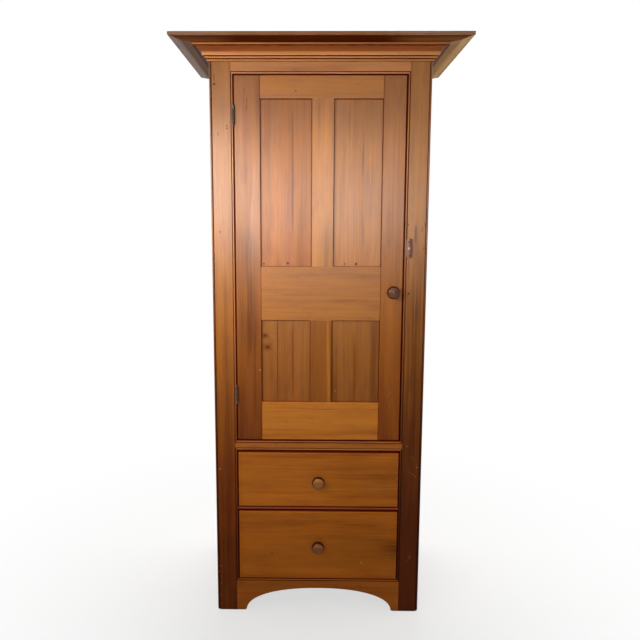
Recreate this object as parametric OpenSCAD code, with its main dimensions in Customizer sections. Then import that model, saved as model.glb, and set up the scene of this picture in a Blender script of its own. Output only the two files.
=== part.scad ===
/* [Case] */
// Width of the case over the face frame
case_w = 762; // [740:2:790]
// Depth of the case, face frame and back boards included
case_d = 520; // [470:5:530]
// Thickness of the sides, the floor and the top board
board_t = 19; // [17:1:21]
// Thickness of the shelves
shelf_t = 19; // [16:1:21]
// How far the shelves stand back from the face frame
shelf_setback = 14; // [13:1:30]
// Thickness of the back boards
back_t = 12; // [10:1:14]
// Depth of the housings that hold the floor, shelves and top
housing_d = 6; // [4:1:8]
// Width of the rebate in the sides for the back boards
rebate_w = 10; // [8:1:13]
// Length of the tongues between the back boards
tongue_l = 6; // [4:1:8]

/* [Face frame] */
// Thickness of the face frame
frame_t = 22; // [20:1:24]
// Width of each face stile
stile_w = 81.5; // [76:0.5:86]
// Radius of the bead worked along the frame's edges
bead_r = 3.5; // [3:0.5:4.5]
// Width of the quirk that sets a bead off
quirk_w = 2; // [1:0.5:2.5]
// Height of the apron above the floor
apron_h = 129; // [120:1:145]
// Height of the arch cut in the apron
arch_rise = 91; // [75:1:98]
// Width of the arch at the floor
arch_w = 550; // [480:5:560]
// How far the hand-cut arch stands off centre
arch_shift = 4; // [-8:1:8]
// Squareness of the arch, where 2 is an ellipse
arch_power = 2.2; // [2:0.1:3]
// Radius worn on the feet where they meet the floor
toe_r = 9; // [5:1:12]
// Height of the lower drawer's opening
lower_opening_h = 277; // [250:1:300]
// Height of the upper drawer's opening
upper_opening_h = 220; // [195:1:240]
// Thickness of the divider between the drawers, and of the runners
divider_t = 11; // [10:0.5:14]
// Depth of the divider behind the face frame
divider_d = 45; // [30:1:60]
// Height of the rail between drawers and door
mid_rail_h = 37; // [34:1:48]
// Height of the door opening
door_opening_h = 1298; // [1250:2:1340]
// Height of the top rail that shows under the bed mould
top_rail_show = 40.5; // [30:0.5:60]
// Length of the face frame's tenons
frame_tenon_l = 40; // [30:1:50]
// Thickness of the face frame's tenons
frame_tenon_t = 8; // [6:0.5:10]

/* [Crown] */
// Height of the bed mould under the crown
mould_h = 50.5; // [50:0.5:60]
// How far the bed mould stands out from the case
mould_out = 48.2; // [46:0.2:56]
// Thickness of the crown boards
crown_t = 17; // [15:0.5:22]
// How far the crown stands out from the case
crown_out = 115; // [95:1:130]
// Height of the crown's square outer edge
crown_edge = 10.5; // [8:0.5:14]
// Width of the bevel under the crown's outer edge
crown_bevel = 35; // [20:1:40]
// How far a crown board lies in over the case
crown_seat = 60; // [45:1:80]

/* [Door] */
// Thickness of the door's frame
door_t = 21.5; // [19:0.5:21.5]
// Gap between the door and its hinge side
hinge_gap = 2.5; // [2:0.1:3]
// Gap between the door and its latch side
latch_gap = 3.5; // [2:0.5:5]
// Gap above the door
door_top_gap = 3; // [2:0.5:5]
// Gap below the door
door_foot_gap = 4; // [2:0.5:6]
// Width of the door stile at the hinges
hinge_stile_w = 89.5; // [80:0.5:100]
// Width of the door stile at the knob
latch_stile_w = 78.5; // [72:0.5:95]
// Height of the door's top rail
top_rail_h = 77; // [65:1:90]
// Height of the door's lock rail
lock_rail_h = 192.5; // [170:0.5:220]
// Height of the door's bottom rail
bottom_rail_h = 142; // [120:1:160]
// Height of the two lower panels
lower_panel_h = 303; // [270:1:340]
// Width of the muntins between the panels
muntin_w = 77; // [60:0.5:85]
// Place of the upper muntin, from the cupboard's centre line
upper_muntin_x = 10; // [-15:1:20]
// Place of the lower muntin, from the cupboard's centre line
lower_muntin_x = 7; // [-15:1:20]
// Thickness of the flat panels
panel_t = 8; // [6:0.5:9]
// Depth of the panels behind the door's front
panel_sunk = 7; // [6:0.5:8]
// Depth of the grooves that hold the panels
groove_d = 10; // [7:0.5:12]
// Length of the door's tenons
door_tenon_l = 48; // [35:1:60]

/* [Drawers] */
// Thickness of the drawer fronts
front_t = 20; // [18:0.5:22]
// Thickness of the drawer sides and backs
drawer_side_t = 11; // [9:0.5:13]
// Thickness of the drawer bottoms
drawer_bottom_t = 7; // [6:0.5:9]
// Room between a closed drawer and the back boards
drawer_room = 33; // [20:1:60]
// Gap at each side of a drawer front
drawer_side_gap = 2.2; // [1.5:0.1:3]
// Gap above the lower drawer's front
lower_drawer_gap = 3.5; // [2:0.5:6]
// Gap above the upper drawer's front
upper_drawer_gap = 6; // [3:0.5:9]
// Height of a drawer bottom above the drawer's lower edge
bottom_rise = 9; // [7:0.5:14]
// Wood left in front of the half-blind dovetails
dovetail_lap = 6.5; // [5:0.5:8]
// Width of the drawer guides
guide_w = 25; // [18:1:40]
// Height of the drawer guides and of the drawer stops
guide_h = 20; // [14:1:26]

/* [Knobs and button] */
// Diameter of the knobs
knob_d = 46; // [38:1:52]
// How far a knob stands out
knob_out = 35; // [30:1:42]
// Diameter of the spigot that holds a knob
spigot_d = 15; // [12:0.5:17]
// Height of the lower drawer's knob above the middle of its front
lower_knob_shift = -0.5; // [-10:0.5:10]
// Height of the upper drawer's knob above the middle of its front
upper_knob_shift = -4.5; // [-10:0.5:10]
// Distance of the door knob from the door's latch edge
door_knob_inset = 34; // [30:1:45]
// Distance of the door knob below the top of the lock rail
door_knob_drop = 89.5; // [60:0.5:120]
// Length of the turn button
button_l = 69.5; // [60:0.5:80]
// Width of the turn button
button_w = 22; // [18:0.5:26]
// Thickness of the turn button
button_t = 9; // [7:0.5:12]
// Distance of the turn button's screw from the opening's edge
button_inset = 16.5; // [14:0.5:24]
// Height of the turn button's screw above the door knob
button_rise = 156; // [120:1:220]
// Radius of the turn button's screw
button_screw_r = 2.5; // [2:0.1:3]

/* [Hinges] */
// Height of a butt hinge
hinge_h = 63.5; // [50:0.5:76]
// Radius of a hinge's barrel
barrel_r = 4.5; // [4:0.1:5.5]
// Radius of a hinge pin
pin_r = 2.4; // [2:0.1:2.8]
// Thickness of a hinge leaf
leaf_t = 1.8; // [1.4:0.1:2.2]
// Width of a hinge leaf behind the face
leaf_w = 19; // [15:0.5:20]
// Distance of the upper hinge's centre below the door's top
upper_hinge_drop = 133; // [100:1:180]
// Distance of the lower hinge's centre above the door's foot
lower_hinge_rise = 170; // [100:1:200]
// Radius of the hinge screws
hinge_screw_r = 1.6; // [1.4:0.1:1.8]

/* [Hidden] */
$fn = 48;

// Clearances
fit = 0.15; // around tenons, tongues, panels and drawer bottoms
run = 0.3; // between pieces that slide or turn past each other
pin_play = 0.05; // between a hinge pin and its knuckles
screw_play = 0.08; // around screws
end_play = 1; // beyond the end of a tenon or a tongue
cut = 1; // how far a cutting shape runs past a face

// Depth, front to back, with the middle of the whole cupboard at 0
front_y = crown_out - (case_d + crown_out) / 2;
back_y = front_y + case_d;
frame_back = front_y + frame_t;
back_face = back_y - back_t;

// Width
side_x = case_w / 2;
inner_x = side_x - board_t;
open_x = side_x - stile_w;
bead_w = 2 * bead_r + quirk_w;
shoulder_x = open_x + bead_w;

// Height, from the floor up
divider_z = apron_h + lower_opening_h;
divider_top = divider_z + divider_t;
mid_z = divider_top + upper_opening_h;
mid_top = mid_z + mid_rail_h;
opening_top = mid_top + door_opening_h;
mould_z = opening_top + top_rail_show;
case_h = mould_z + mould_h;
top_board_z = case_h - board_t;
floor_z = mid_top - board_t;

// Shelves share the room between floor and top board evenly
shelf_pitch = (top_board_z - mid_top) / 4;
function shelf_z(k) = mid_top + k * shelf_pitch - shelf_t / 2;
housed = [[floor_z, board_t], [top_board_z, board_t],
          for (k = [1:3]) [shelf_z(k), shelf_t]];

// Door
door_x0 = -open_x + hinge_gap;
door_x1 = open_x - latch_gap;
door_z0 = mid_top + door_foot_gap;
door_z1 = opening_top - door_top_gap;
door_inner_x0 = door_x0 + hinge_stile_w;
door_inner_x1 = door_x1 - latch_stile_w;
lower_panel_z = door_z0 + bottom_rail_h;
lock_rail_z = lower_panel_z + lower_panel_h;
upper_panel_z = lock_rail_z + lock_rail_h;
top_rail_z = door_z1 - top_rail_h;
door_tenon_t = door_t / 3;
door_tenon_inset = 12;
panel_y = front_y + panel_sunk;

// Drawers, the lower one first
drawer_floor = [apron_h, divider_top];
drawer_head = [divider_z - lower_drawer_gap, mid_z - upper_drawer_gap];
drawer_x = open_x - drawer_side_gap;
drawer_back_y = back_face - drawer_room;
front_lift = 1.5;
side_drop = 3;
drawer_tails = [4, 3];
knob_shift = [lower_knob_shift, upper_knob_shift];
tail_slope = 1 / 6;
runner_overlap = 22;
kicker_play = 2;

// Knobs and turn button
door_knob_x = door_x1 - door_knob_inset;
door_knob_z = upper_panel_z - door_knob_drop;
button_x = open_x + button_inset;
button_z = door_knob_z + button_rise;
button_crown_r = 0.75 * button_w;
button_screw_l = 18;

// Hinges
hinge_x = (door_x0 - open_x) / 2;
hinge_y = front_y - barrel_r - 0.5;
upper_hinge_z = door_z1 - upper_hinge_drop - hinge_h / 2;
lower_hinge_z = door_z0 + lower_hinge_rise - hinge_h / 2;
leaf_gap = 0.7;
knuckles = 5;
knuckle_h = hinge_h / knuckles;
hinge_screw_l = 16;

// Colours of the aged pine and the iron
pine = [0.66, 0.42, 0.24];
pine_dark = [0.42, 0.22, 0.12];
pine_gold = [0.62, 0.36, 0.16];
pine_raw = [0.72, 0.56, 0.38];
iron = [0.22, 0.18, 0.16];

// A board given by its six faces
module board(x0, x1, y0, y1, z0, z1) {
  translate([x0, y0, z0]) cube([x1 - x0, y1 - y0, z1 - z0]);
}

// An outline drawn in the front view, cut through from y0 to y1
module cut_through(y0, y1) {
  translate([0, y1, 0]) rotate([90, 0, 0]) linear_extrude(y1 - y0) children();
}

// A section drawn as seen from the side, run from x0 to x1
module run_across(x0, x1) {
  translate([x0, 0, 0]) rotate([90, 0, 90]) linear_extrude(x1 - x0) children();
}

// The left-hand piece as the mirror image of the right-hand one
module on_side(side) {
  if (side < 0) mirror([1, 0, 0]) children();
  else children();
}

// Half a disc that rounds an edge at x = 0, towards -x
module half_round(r) {
  intersection() {
    circle(r);
    translate([-r, -r]) square([r, 2 * r]);
  }
}

// Section of a face-frame board, front at y = 0, with a quirked bead on either edge
module beaded_section(w, low, high) {
  module bead() {
    translate([bead_r, bead_r]) rotate(90) half_round(bead_r);
  }
  difference() {
    square([w, frame_t]);
    if (low) translate([-cut, -cut]) square([bead_w + cut, bead_r + cut]);
    if (high) translate([w - bead_w, -cut]) square([bead_w + cut, bead_r + cut]);
  }
  if (low) bead();
  if (high) translate([w - 2 * bead_r, 0]) bead();
}

// Front outline of a rail, its beaded edges mitred into the beads of the stiles
module rail_outline(z0, z1, low, high) {
  right_edge = concat(
    low ? [[open_x, z0], [shoulder_x, z0 + bead_w]] : [[shoulder_x, z0]],
    high ? [[shoulder_x, z1 - bead_w], [open_x, z1]] : [[shoulder_x, z1]]);
  last = len(right_edge) - 1;
  polygon(concat(right_edge, [for (k = [last:-1:0]) [-right_edge[k][0], right_edge[k][1]]]));
}

// Tenons of a rail, or with some play the mortises that take them
module frame_tenons(z0, z1, play = 0) {
  mid_y = front_y + frame_t / 2;
  reach = shoulder_x + frame_tenon_l + (play > 0 ? end_play : 0);
  for (side = [-1, 1]) on_side(side)
    board(shoulder_x - cut, reach,
          mid_y - frame_tenon_t / 2 - play, mid_y + frame_tenon_t / 2 + play,
          z0 - play, z1 + play);
}

// A rail of the face frame
module frame_rail(z0, z1, low, high, tenon_z0, tenon_z1) {
  intersection() {
    run_across(-shoulder_x, shoulder_x)
      translate([front_y, z0]) mirror([1, -1]) beaded_section(z1 - z0, low, high);
    cut_through(front_y - cut, frame_back + cut) rail_outline(z0, z1, low, high);
  }
  frame_tenons(tenon_z0, tenon_z1);
}

foot_shoulder = 8;
top_tenon = [opening_top + bead_w, top_board_z];
mid_tenon = [mid_z + bead_w, mid_top - bead_w];
apron_tenon = [toe_r + foot_shoulder, apron_h - bead_w];

// Half-width of the arch at a height above the floor
function arch_x(z) = arch_w / 2 * pow(1 - pow(z / arch_rise, arch_power), 1 / arch_power);

// Outline of the arch, with the worn toes of the feet on both sides
module arch_outline() {
  steps = 32;
  toe_x = arch_x(toe_r);
  translate([arch_shift, 0]) {
    polygon([for (k = [0:steps])
      let (a = 180 * k / steps, c = cos(a), s = sin(a))
      [arch_w / 2 * sign(c) * pow(abs(c), 2 / arch_power), arch_rise * pow(s, 2 / arch_power)]]);
    for (side = [-1, 1]) on_side(side) difference() {
      translate([0, -cut]) square([toe_x + toe_r, toe_r + cut]);
      translate([toe_x + toe_r, toe_r]) circle(toe_r);
    }
  }
}

// What the worn outer corner of a foot has lost, for the right-hand side
module worn_corner() {
  difference() {
    translate([side_x - toe_r, -cut]) square([toe_r + cut, toe_r + cut]);
    translate([side_x - toe_r, toe_r]) circle(toe_r);
  }
}

// A side of the case: one wide board, housed and rebated on its inner face
module case_side(side) {
  color(pine) on_side(side) difference() {
    board(inner_x, side_x, frame_back, back_y, 0, case_h);
    for (h = housed)
      board(inner_x - cut, inner_x + housing_d, frame_back - cut, back_y + cut, h[0], h[0] + h[1]);
    board(inner_x - cut, inner_x + housing_d, frame_back - cut, frame_back + divider_d,
          divider_z, divider_top);
    board(inner_x - cut, inner_x + rebate_w, back_face, back_y + cut, -cut, case_h + cut);
    cut_through(frame_back - cut, back_y + cut) worn_corner();
  }
}
module left_side() case_side(-1);
module right_side() case_side(1);

module housed_board(z, t, y0) {
  board(-inner_x - housing_d, inner_x + housing_d, y0, back_face, z, z + t);
}
module top_board() color(pine_raw) housed_board(top_board_z, board_t, frame_back);
module cupboard_floor() color(pine_raw) housed_board(floor_z, board_t, frame_back);
module shelf(k) {
  color(pine_raw) housed_board(shelf_z(k), shelf_t, frame_back + shelf_setback);
}
module lower_shelf() shelf(1);
module middle_shelf() shelf(2);
module upper_shelf() shelf(3);

// Four upright boards of random width, tongued and grooved, in the rebates of the sides
module back_boards() {
  width = 2 * (inner_x + rebate_w);
  splits = [0, 0.27, 0.5, 0.76, 1];
  joint_gap = 1;
  tongue_t = back_t / 3;
  tongue_y = (back_face + back_y) / 2;
  color(pine_raw) for (k = [0:3]) {
    x0 = -width / 2 + width * splits[k] + (k > 0 ? joint_gap / 2 : 0);
    x1 = -width / 2 + width * splits[k + 1] - (k < 3 ? joint_gap / 2 : 0);
    difference() {
      board(x0, x1, back_face, back_y, 0, case_h);
      if (k > 0)
        board(x0 - cut, x0 + tongue_l + end_play - joint_gap, tongue_y - tongue_t / 2 - fit,
              tongue_y + tongue_t / 2 + fit, -cut, case_h + cut);
    }
    if (k < 3)
      board(x1 - cut, x1 + tongue_l, tongue_y - tongue_t / 2, tongue_y + tongue_t / 2, 0, case_h);
  }
}

// A stile of the face frame, with the rails let in through its inner bead
module face_stile(side) {
  difference() {
    on_side(side) translate([open_x, front_y, 0])
      linear_extrude(case_h) beaded_section(stile_w, true, true);
    cut_through(front_y - cut, frame_back + cut) {
      rail_outline(opening_top, case_h + cut, true, false);
      rail_outline(mid_z, mid_top, true, true);
      rail_outline(-cut, apron_h, false, true);
    }
    for (t = [top_tenon, mid_tenon, apron_tenon]) frame_tenons(t[0], t[1], fit);
    on_side(side) cut_through(front_y - cut, frame_back + cut) worn_corner();
  }
}
module left_face_stile() {
  color(pine) difference() {
    face_stile(-1);
    for (z = [upper_hinge_z, lower_hinge_z]) {
      leaf_gain(-1, z);
      leaf_screws(-1, z, screw_play);
    }
  }
}
module right_face_stile() {
  color(pine) difference() {
    face_stile(1);
    translate([button_x, frame_back - end_play, button_z])
      rotate([90, 0, 0]) cylinder(h = frame_t, r = button_screw_r + screw_play);
  }
}
module top_rail() {
  color(pine) frame_rail(opening_top, case_h, true, false, top_tenon[0], top_tenon[1]);
}
module mid_rail() {
  color(pine_gold) frame_rail(mid_z, mid_top, true, true, mid_tenon[0], mid_tenon[1]);
}
module apron() {
  color(pine_gold) difference() {
    frame_rail(0, apron_h, false, true, apron_tenon[0], apron_tenon[1]);
    cut_through(front_y - cut, frame_back + cut) arch_outline();
  }
}

// The divider shows a rounded edge between the stiles and is housed in the sides
module drawer_divider() {
  nose_r = divider_t / 2;
  color(pine_gold) {
    run_across(-open_x, open_x) {
      translate([front_y + nose_r, divider_z + nose_r]) half_round(nose_r);
      translate([front_y + nose_r, divider_z])
        square([frame_t - nose_r + divider_d, divider_t]);
    }
    board(-inner_x - housing_d, inner_x + housing_d, frame_back, frame_back + divider_d,
          divider_z, divider_top);
  }
}

// Runners carry the drawer sides and kickers keep them from tipping; guides keep them straight
module runners(y0, top) {
  color(pine_raw) for (side = [-1, 1]) on_side(side)
    board(open_x - runner_overlap, inner_x, y0, back_face, top - divider_t, top);
}
module upper_drawer_runners() runners(frame_back + divider_d, divider_top);
module lower_drawer_runners() runners(frame_back, apron_h);
module drawer_kickers() {
  color(pine_raw) for (side = [-1, 1]) on_side(side)
    board(open_x - runner_overlap, inner_x, frame_back, back_face, side_z1(1) + kicker_play, floor_z);
}
module drawer_guides() {
  color(pine_raw) for (side = [-1, 1]) on_side(side) {
    board(open_x, open_x + guide_w, frame_back, back_face, apron_h, apron_h + guide_h);
    board(open_x, open_x + guide_w, frame_back, back_face, divider_top, divider_top + guide_h);
  }
}
// Stops behind the drawers end their travel
module drawer_stops() {
  y0 = drawer_back_y + run;
  color(pine_raw) for (side = [-1, 1], z = drawer_floor) on_side(side)
    board(open_x - runner_overlap, open_x - run, y0, y0 + guide_w / 2, z, z + guide_h);
}

// Blocks glued inside the front feet and behind the top rail
module glue_blocks() {
  block = 20;
  spread = 240;
  color(pine_raw) {
    for (side = [-1, 1]) on_side(side)
      board(inner_x - block, inner_x, frame_back, frame_back + block, toe_r,
            apron_h - divider_t);
    for (k = [-1:1])
      board(k * spread - block, k * spread + block, frame_back, frame_back + block,
            top_board_z - block, top_board_z);
  }
}

// A strip nailed behind the latch stile stops the closed door
module door_stop() {
  lap = 9;
  strip_t = 12;
  color(pine_raw)
    board(open_x - lap, open_x + guide_w, frame_back, frame_back + strip_t, mid_top, top_board_z);
}

// Front and side lengths of a moulding whose section runs out along x from the case
module moulding_front(out, seat, z) {
  intersection() {
    run_across(-side_x - out, side_x + out) translate([front_y, z]) mirror([1, 0]) children();
    translate([0, 0, z - cut]) linear_extrude(case_h) polygon([
      [-side_x - out, front_y - out], [side_x + out, front_y - out],
      [side_x - seat, front_y + seat], [-side_x + seat, front_y + seat]]);
  }
}
module moulding_side(side, out, seat, z) {
  on_side(side) intersection() {
    cut_through(front_y - out, back_y) translate([side_x, z]) children();
    translate([0, 0, z - cut]) linear_extrude(case_h) polygon([
      [side_x + out, front_y - out], [side_x + out, back_y],
      [side_x - seat, back_y], [side_x - seat, front_y + seat]]);
  }
}

// Section of the bed mould, from the bottom: two stepped beads, a cove and the top fillet
module mould_section() {
  bead_out = [5.8, 12.8];
  bead_h = 7.2;
  quirk_h = 1.2;
  quirk_x = [3.4, 10.4];
  lip_x = 19.5;
  lip_h = 1.2;
  fillet_h = 7;
  fillet_drop = 1;
  fillet_lap = 11;
  cove_sink = 3.2;
  steps = 12;
  r = bead_h / 2;
  lip_z = 2 * (bead_h + quirk_h);
  fillet_z = mould_h - fillet_h;
  low = [lip_x, lip_z + lip_h];
  high = [mould_out - fillet_lap, fillet_z - fillet_drop];
  chord = high - low;
  inward = [-chord[1], chord[0]] / norm(chord);
  for (k = [0, 1]) translate([0, k * (bead_h + quirk_h)]) {
    square([bead_out[k] - r, bead_h]);
    translate([bead_out[k] - r, r]) rotate(180) half_round(r);
    square([quirk_x[k], bead_h + quirk_h]);
  }
  polygon(concat([[0, lip_z], [lip_x, lip_z]],
    [for (k = [0:steps]) let (t = k / steps) low + t * chord + 4 * t * (1 - t) * cove_sink * inward],
    [[high[0], fillet_z], [mould_out, fillet_z], [mould_out, mould_h], [0, mould_h]]));
}
module bed_mould_front() color(pine_gold) moulding_front(mould_out, 0, mould_z) mould_section();
module bed_mould_left() color(pine_gold) moulding_side(-1, mould_out, 0, mould_z) mould_section();
module bed_mould_right() color(pine_gold) moulding_side(1, mould_out, 0, mould_z) mould_section();

// Section of a crown board, bevelled under its outer edge
module crown_section() {
  polygon([[-crown_seat, 0], [crown_out - crown_bevel, 0], [crown_out, crown_t - crown_edge],
           [crown_out, crown_t], [-crown_seat, crown_t]]);
}
module crown_front() color(pine_dark) moulding_front(crown_out, crown_seat, case_h) crown_section();
module crown_left() color(pine_dark) moulding_side(-1, crown_out, crown_seat, case_h) crown_section();
module crown_right() color(pine_dark) moulding_side(1, crown_out, crown_seat, case_h) crown_section();

// Butt hinges: side -1 is the leaf on the case, side 1 the leaf on the door
function leaf_knuckle(side, k) = side < 0 ? k % 2 == 0 : k % 2 == 1;
module leaf_plate(side, y0, z) {
  translate([hinge_x, 0, 0]) on_side(side)
    board(leaf_gap / 2, leaf_gap / 2 + leaf_t, y0, front_y + leaf_w, z, z + hinge_h);
}
module leaf_gain(side, z) {
  translate([hinge_x, 0, 0]) on_side(side)
    board(-leaf_gap, leaf_gap / 2 + leaf_t, front_y - cut, front_y + leaf_w, z, z + hinge_h);
}
module leaf_screws(side, z, play = 0) {
  head_r = 2 * hinge_screw_r;
  for (k = [0:2])
    translate([hinge_x, front_y + leaf_w * (k == 1 ? 0.38 : 0.66), z + hinge_h * (2 * k + 1) / 6])
      on_side(side) translate([leaf_gap / 2, 0, 0]) rotate([0, 90, 0]) {
        cylinder(h = hinge_screw_r, r1 = head_r + play, r2 = hinge_screw_r + play);
        cylinder(h = hinge_screw_l + play, r = hinge_screw_r + play);
      }
}
module hinge_leaf(side, z) {
  difference() {
    union() {
      difference() {
        leaf_plate(side, hinge_y, z);
        for (k = [0:knuckles - 1]) if (!leaf_knuckle(side, k))
          translate([hinge_x, hinge_y, z + k * knuckle_h - run / 2])
            cylinder(h = knuckle_h + run, r = barrel_r + run);
      }
      for (k = [0:knuckles - 1]) if (leaf_knuckle(side, k))
        translate([hinge_x, hinge_y, z + k * knuckle_h + run / 2])
          cylinder(h = knuckle_h - run, r = barrel_r);
    }
    translate([hinge_x, hinge_y, z - cut])
      cylinder(h = hinge_h + 2 * cut, r = pin_r + pin_play);
    leaf_screws(side, z, screw_play);
  }
}
module hinge_case_leaves() {
  color(iron) for (z = [upper_hinge_z, lower_hinge_z]) hinge_leaf(-1, z);
}
module hinge_door_leaves() {
  color(iron) for (z = [upper_hinge_z, lower_hinge_z]) hinge_leaf(1, z);
}
// Each pin ends in a small turned tip above and below its barrel
module hinge_pins() {
  tip_r = 0.8 * barrel_r;
  module tip() {
    rotate_extrude() polygon(tip_r * [[0, 0], [0.83, 0], [1, 0.28], [0.72, 0.72], [0.33, 1.17],
                                      [0, 1.25]]);
  }
  color(iron) for (z = [upper_hinge_z, lower_hinge_z]) translate([hinge_x, hinge_y, z]) {
    translate([0, 0, -tip_r / 4]) cylinder(h = hinge_h + tip_r / 2, r = pin_r);
    translate([0, 0, hinge_h - run / 2]) tip();
    translate([0, 0, run / 2]) mirror([0, 0, 1]) tip();
  }
}
module case_hinge_screws() {
  color(iron) for (z = [upper_hinge_z, lower_hinge_z]) leaf_screws(-1, z);
}
module door_hinge_screws() {
  color(iron) for (z = [upper_hinge_z, lower_hinge_z]) leaf_screws(1, z);
}

// The wooden turn button stands upright on its screw, clear of the door
module turn_button() {
  straight = button_l - button_w;
  color(pine_dark) translate([button_x, front_y - run, button_z]) rotate([90, 0, 0])
    difference() {
      intersection() {
        linear_extrude(button_t) {
          translate([-button_w / 2, -straight / 2]) square([button_w, straight]);
          for (a = [0, 180]) rotate(a) translate([0, straight / 2]) rotate(-90)
            half_round(button_w / 2);
        }
        translate([0, 0, button_t - button_crown_r]) rotate([90, 0, 0])
          cylinder(h = button_l + 2 * cut, r = button_crown_r, center = true);
      }
      translate([0, 0, -cut])
        cylinder(h = button_t + 2 * cut, r = button_screw_r + screw_play);
    }
}
module turn_button_screw() {
  head_r = 2.2 * button_screw_r;
  head_h = 1.1 * button_screw_r;
  head_z = button_t + 2 * run;
  color(iron) translate([button_x, front_y, button_z]) rotate([90, 0, 0]) {
    translate([0, 0, -button_screw_l])
      cylinder(h = button_screw_l + head_z + head_h / 2, r = button_screw_r);
    translate([0, 0, head_z]) rotate_extrude() polygon([[0, 0], [head_r, 0],
      for (a = [0:15:90]) [head_r * cos(a), head_h * (0.25 + 0.75 * sin(a))]]);
  }
}

// A turned knob with its spigot, standing out towards the front; a low power flattens its face
module knob(x, z, wood_t, power) {
  neck_r = 8;
  foot_r = 12;
  foot_h = 3;
  edge_h = 0.64 * knob_out;
  under_h = 0.3 * knob_out;
  steps = 8;
  neck_a = acos(neck_r / (knob_d / 2));
  translate([x, front_y, z]) rotate([90, 0, 0]) {
    rotate_extrude() polygon(concat(
      [[0, 0], [foot_r, 0], [foot_r, foot_h - 1], [foot_r - 1, foot_h]],
      [for (k = [0:steps]) let (a = 90 * k / steps)
        [neck_r + (foot_r - 1 - neck_r) * (1 - sin(a)), foot_h + (foot_r - 1 - neck_r) * (1 - cos(a))]],
      [for (k = [steps:-1:0]) let (a = neck_a * k / steps)
        [knob_d / 2 * cos(a), edge_h - under_h * sin(a)]],
      [for (k = [1:steps]) let (a = 90 * k / steps)
        [knob_d / 2 * pow(max(cos(a), 0), power), edge_h + (knob_out - edge_h) * pow(sin(a), power)]]));
    translate([0, 0, -wood_t]) cylinder(h = wood_t + cut, r = spigot_d / 2);
  }
}
module knob_bore(x, z) {
  translate([x, frame_back + cut, z]) rotate([90, 0, 0])
    cylinder(h = frame_t + 2 * cut, r = spigot_d / 2 + fit);
}
module door_knob() color(pine_dark) knob(door_knob_x, door_knob_z, door_t, 1);

// Where the door's panels lie: x0, x1, z0, z1 of the opening in front of each
upper_split = [upper_muntin_x - muntin_w / 2, upper_muntin_x + muntin_w / 2];
lower_split = [lower_muntin_x - muntin_w / 2, lower_muntin_x + muntin_w / 2];
panel_places = [
  [door_inner_x0, upper_split[0], upper_panel_z, top_rail_z],
  [upper_split[1], door_inner_x1, upper_panel_z, top_rail_z],
  [door_inner_x0, lower_split[0], lower_panel_z, lock_rail_z],
  [lower_split[1], door_inner_x1, lower_panel_z, lock_rail_z]];

// A flat panel, or with play the grooves that it sits in
module panel(k, play = 0) {
  p = panel_places[k];
  reach = groove_d - (play > 0 ? 0 : end_play);
  board(p[0] - reach, p[1] + reach, panel_y - play, panel_y + panel_t + play,
        p[2] - reach, p[3] + reach);
}
module all_grooves() {
  for (k = [0:3]) panel(k, fit);
}
module upper_left_panel() color(pine) panel(0);
module upper_right_panel() color(pine) panel(1);
module lower_left_panel() color(pine_gold) panel(2);
module lower_right_panel() color(pine_gold) panel(3);

// Tenons on the ends of a door rail, or with play their mortises
module door_tenons(z0, z1, play = 0) {
  mid_y = front_y + door_t / 2;
  reach = door_tenon_l + (play > 0 ? end_play : 0);
  for (x = [[door_inner_x0 - reach, door_inner_x0 + cut], [door_inner_x1 - cut, door_inner_x1 + reach]])
    board(x[0], x[1], mid_y - door_tenon_t / 2 - play, mid_y + door_tenon_t / 2 + play,
          z0 + door_tenon_inset - play, z1 - door_tenon_inset + play);
}
module all_door_mortises() {
  door_tenons(door_z0, lower_panel_z, fit);
  door_tenons(lock_rail_z, upper_panel_z, fit);
  door_tenons(top_rail_z, door_z1, fit);
}

// Tenons on the ends of a muntin, or with play their mortises
module muntin_tenons(split, z0, z1, play = 0) {
  mid_y = front_y + door_t / 2;
  reach = 0.6 * door_tenon_l + (play > 0 ? end_play : 0);
  for (z = [[z0 - reach, z0 + cut], [z1 - cut, z1 + reach]])
    board(split[0] + door_tenon_inset - play, split[1] - door_tenon_inset + play,
          mid_y - door_tenon_t / 2 - play, mid_y + door_tenon_t / 2 + play, z[0], z[1]);
}
module all_muntin_mortises() {
  muntin_tenons(upper_split, upper_panel_z, top_rail_z, fit);
  muntin_tenons(lower_split, lower_panel_z, lock_rail_z, fit);
}

module door_stile(x0, x1) {
  difference() {
    board(x0, x1, front_y, front_y + door_t, door_z0, door_z1);
    all_grooves();
    all_door_mortises();
  }
}
module door_hinge_stile() {
  color(pine) difference() {
    door_stile(door_x0, door_inner_x0);
    for (z = [upper_hinge_z, lower_hinge_z]) {
      leaf_gain(1, z);
      leaf_screws(1, z, screw_play);
    }
  }
}
module door_latch_stile() {
  color(pine) difference() {
    door_stile(door_inner_x1, door_x1);
    knob_bore(door_knob_x, door_knob_z);
  }
}
module door_rail(z0, z1) {
  difference() {
    union() {
      board(door_inner_x0, door_inner_x1, front_y, front_y + door_t, z0, z1);
      door_tenons(z0, z1);
    }
    all_grooves();
    all_muntin_mortises();
  }
}
module door_top_rail() color(pine) door_rail(top_rail_z, door_z1);
// The knob's hole is bored after glueing up, through the end of the lock rail's tenon
module door_lock_rail() {
  color(pine) difference() {
    door_rail(lock_rail_z, upper_panel_z);
    knob_bore(door_knob_x, door_knob_z);
  }
}
module door_bottom_rail() color(pine_gold) door_rail(door_z0, lower_panel_z);
module door_muntin(split, z0, z1) {
  difference() {
    union() {
      board(split[0], split[1], front_y, front_y + door_t, z0, z1);
      muntin_tenons(split, z0, z1);
    }
    all_grooves();
  }
}
module door_upper_muntin() color(pine) door_muntin(upper_split, upper_panel_z, top_rail_z);
module door_lower_muntin() color(pine_gold) door_muntin(lower_split, lower_panel_z, lock_rail_z);

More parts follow.
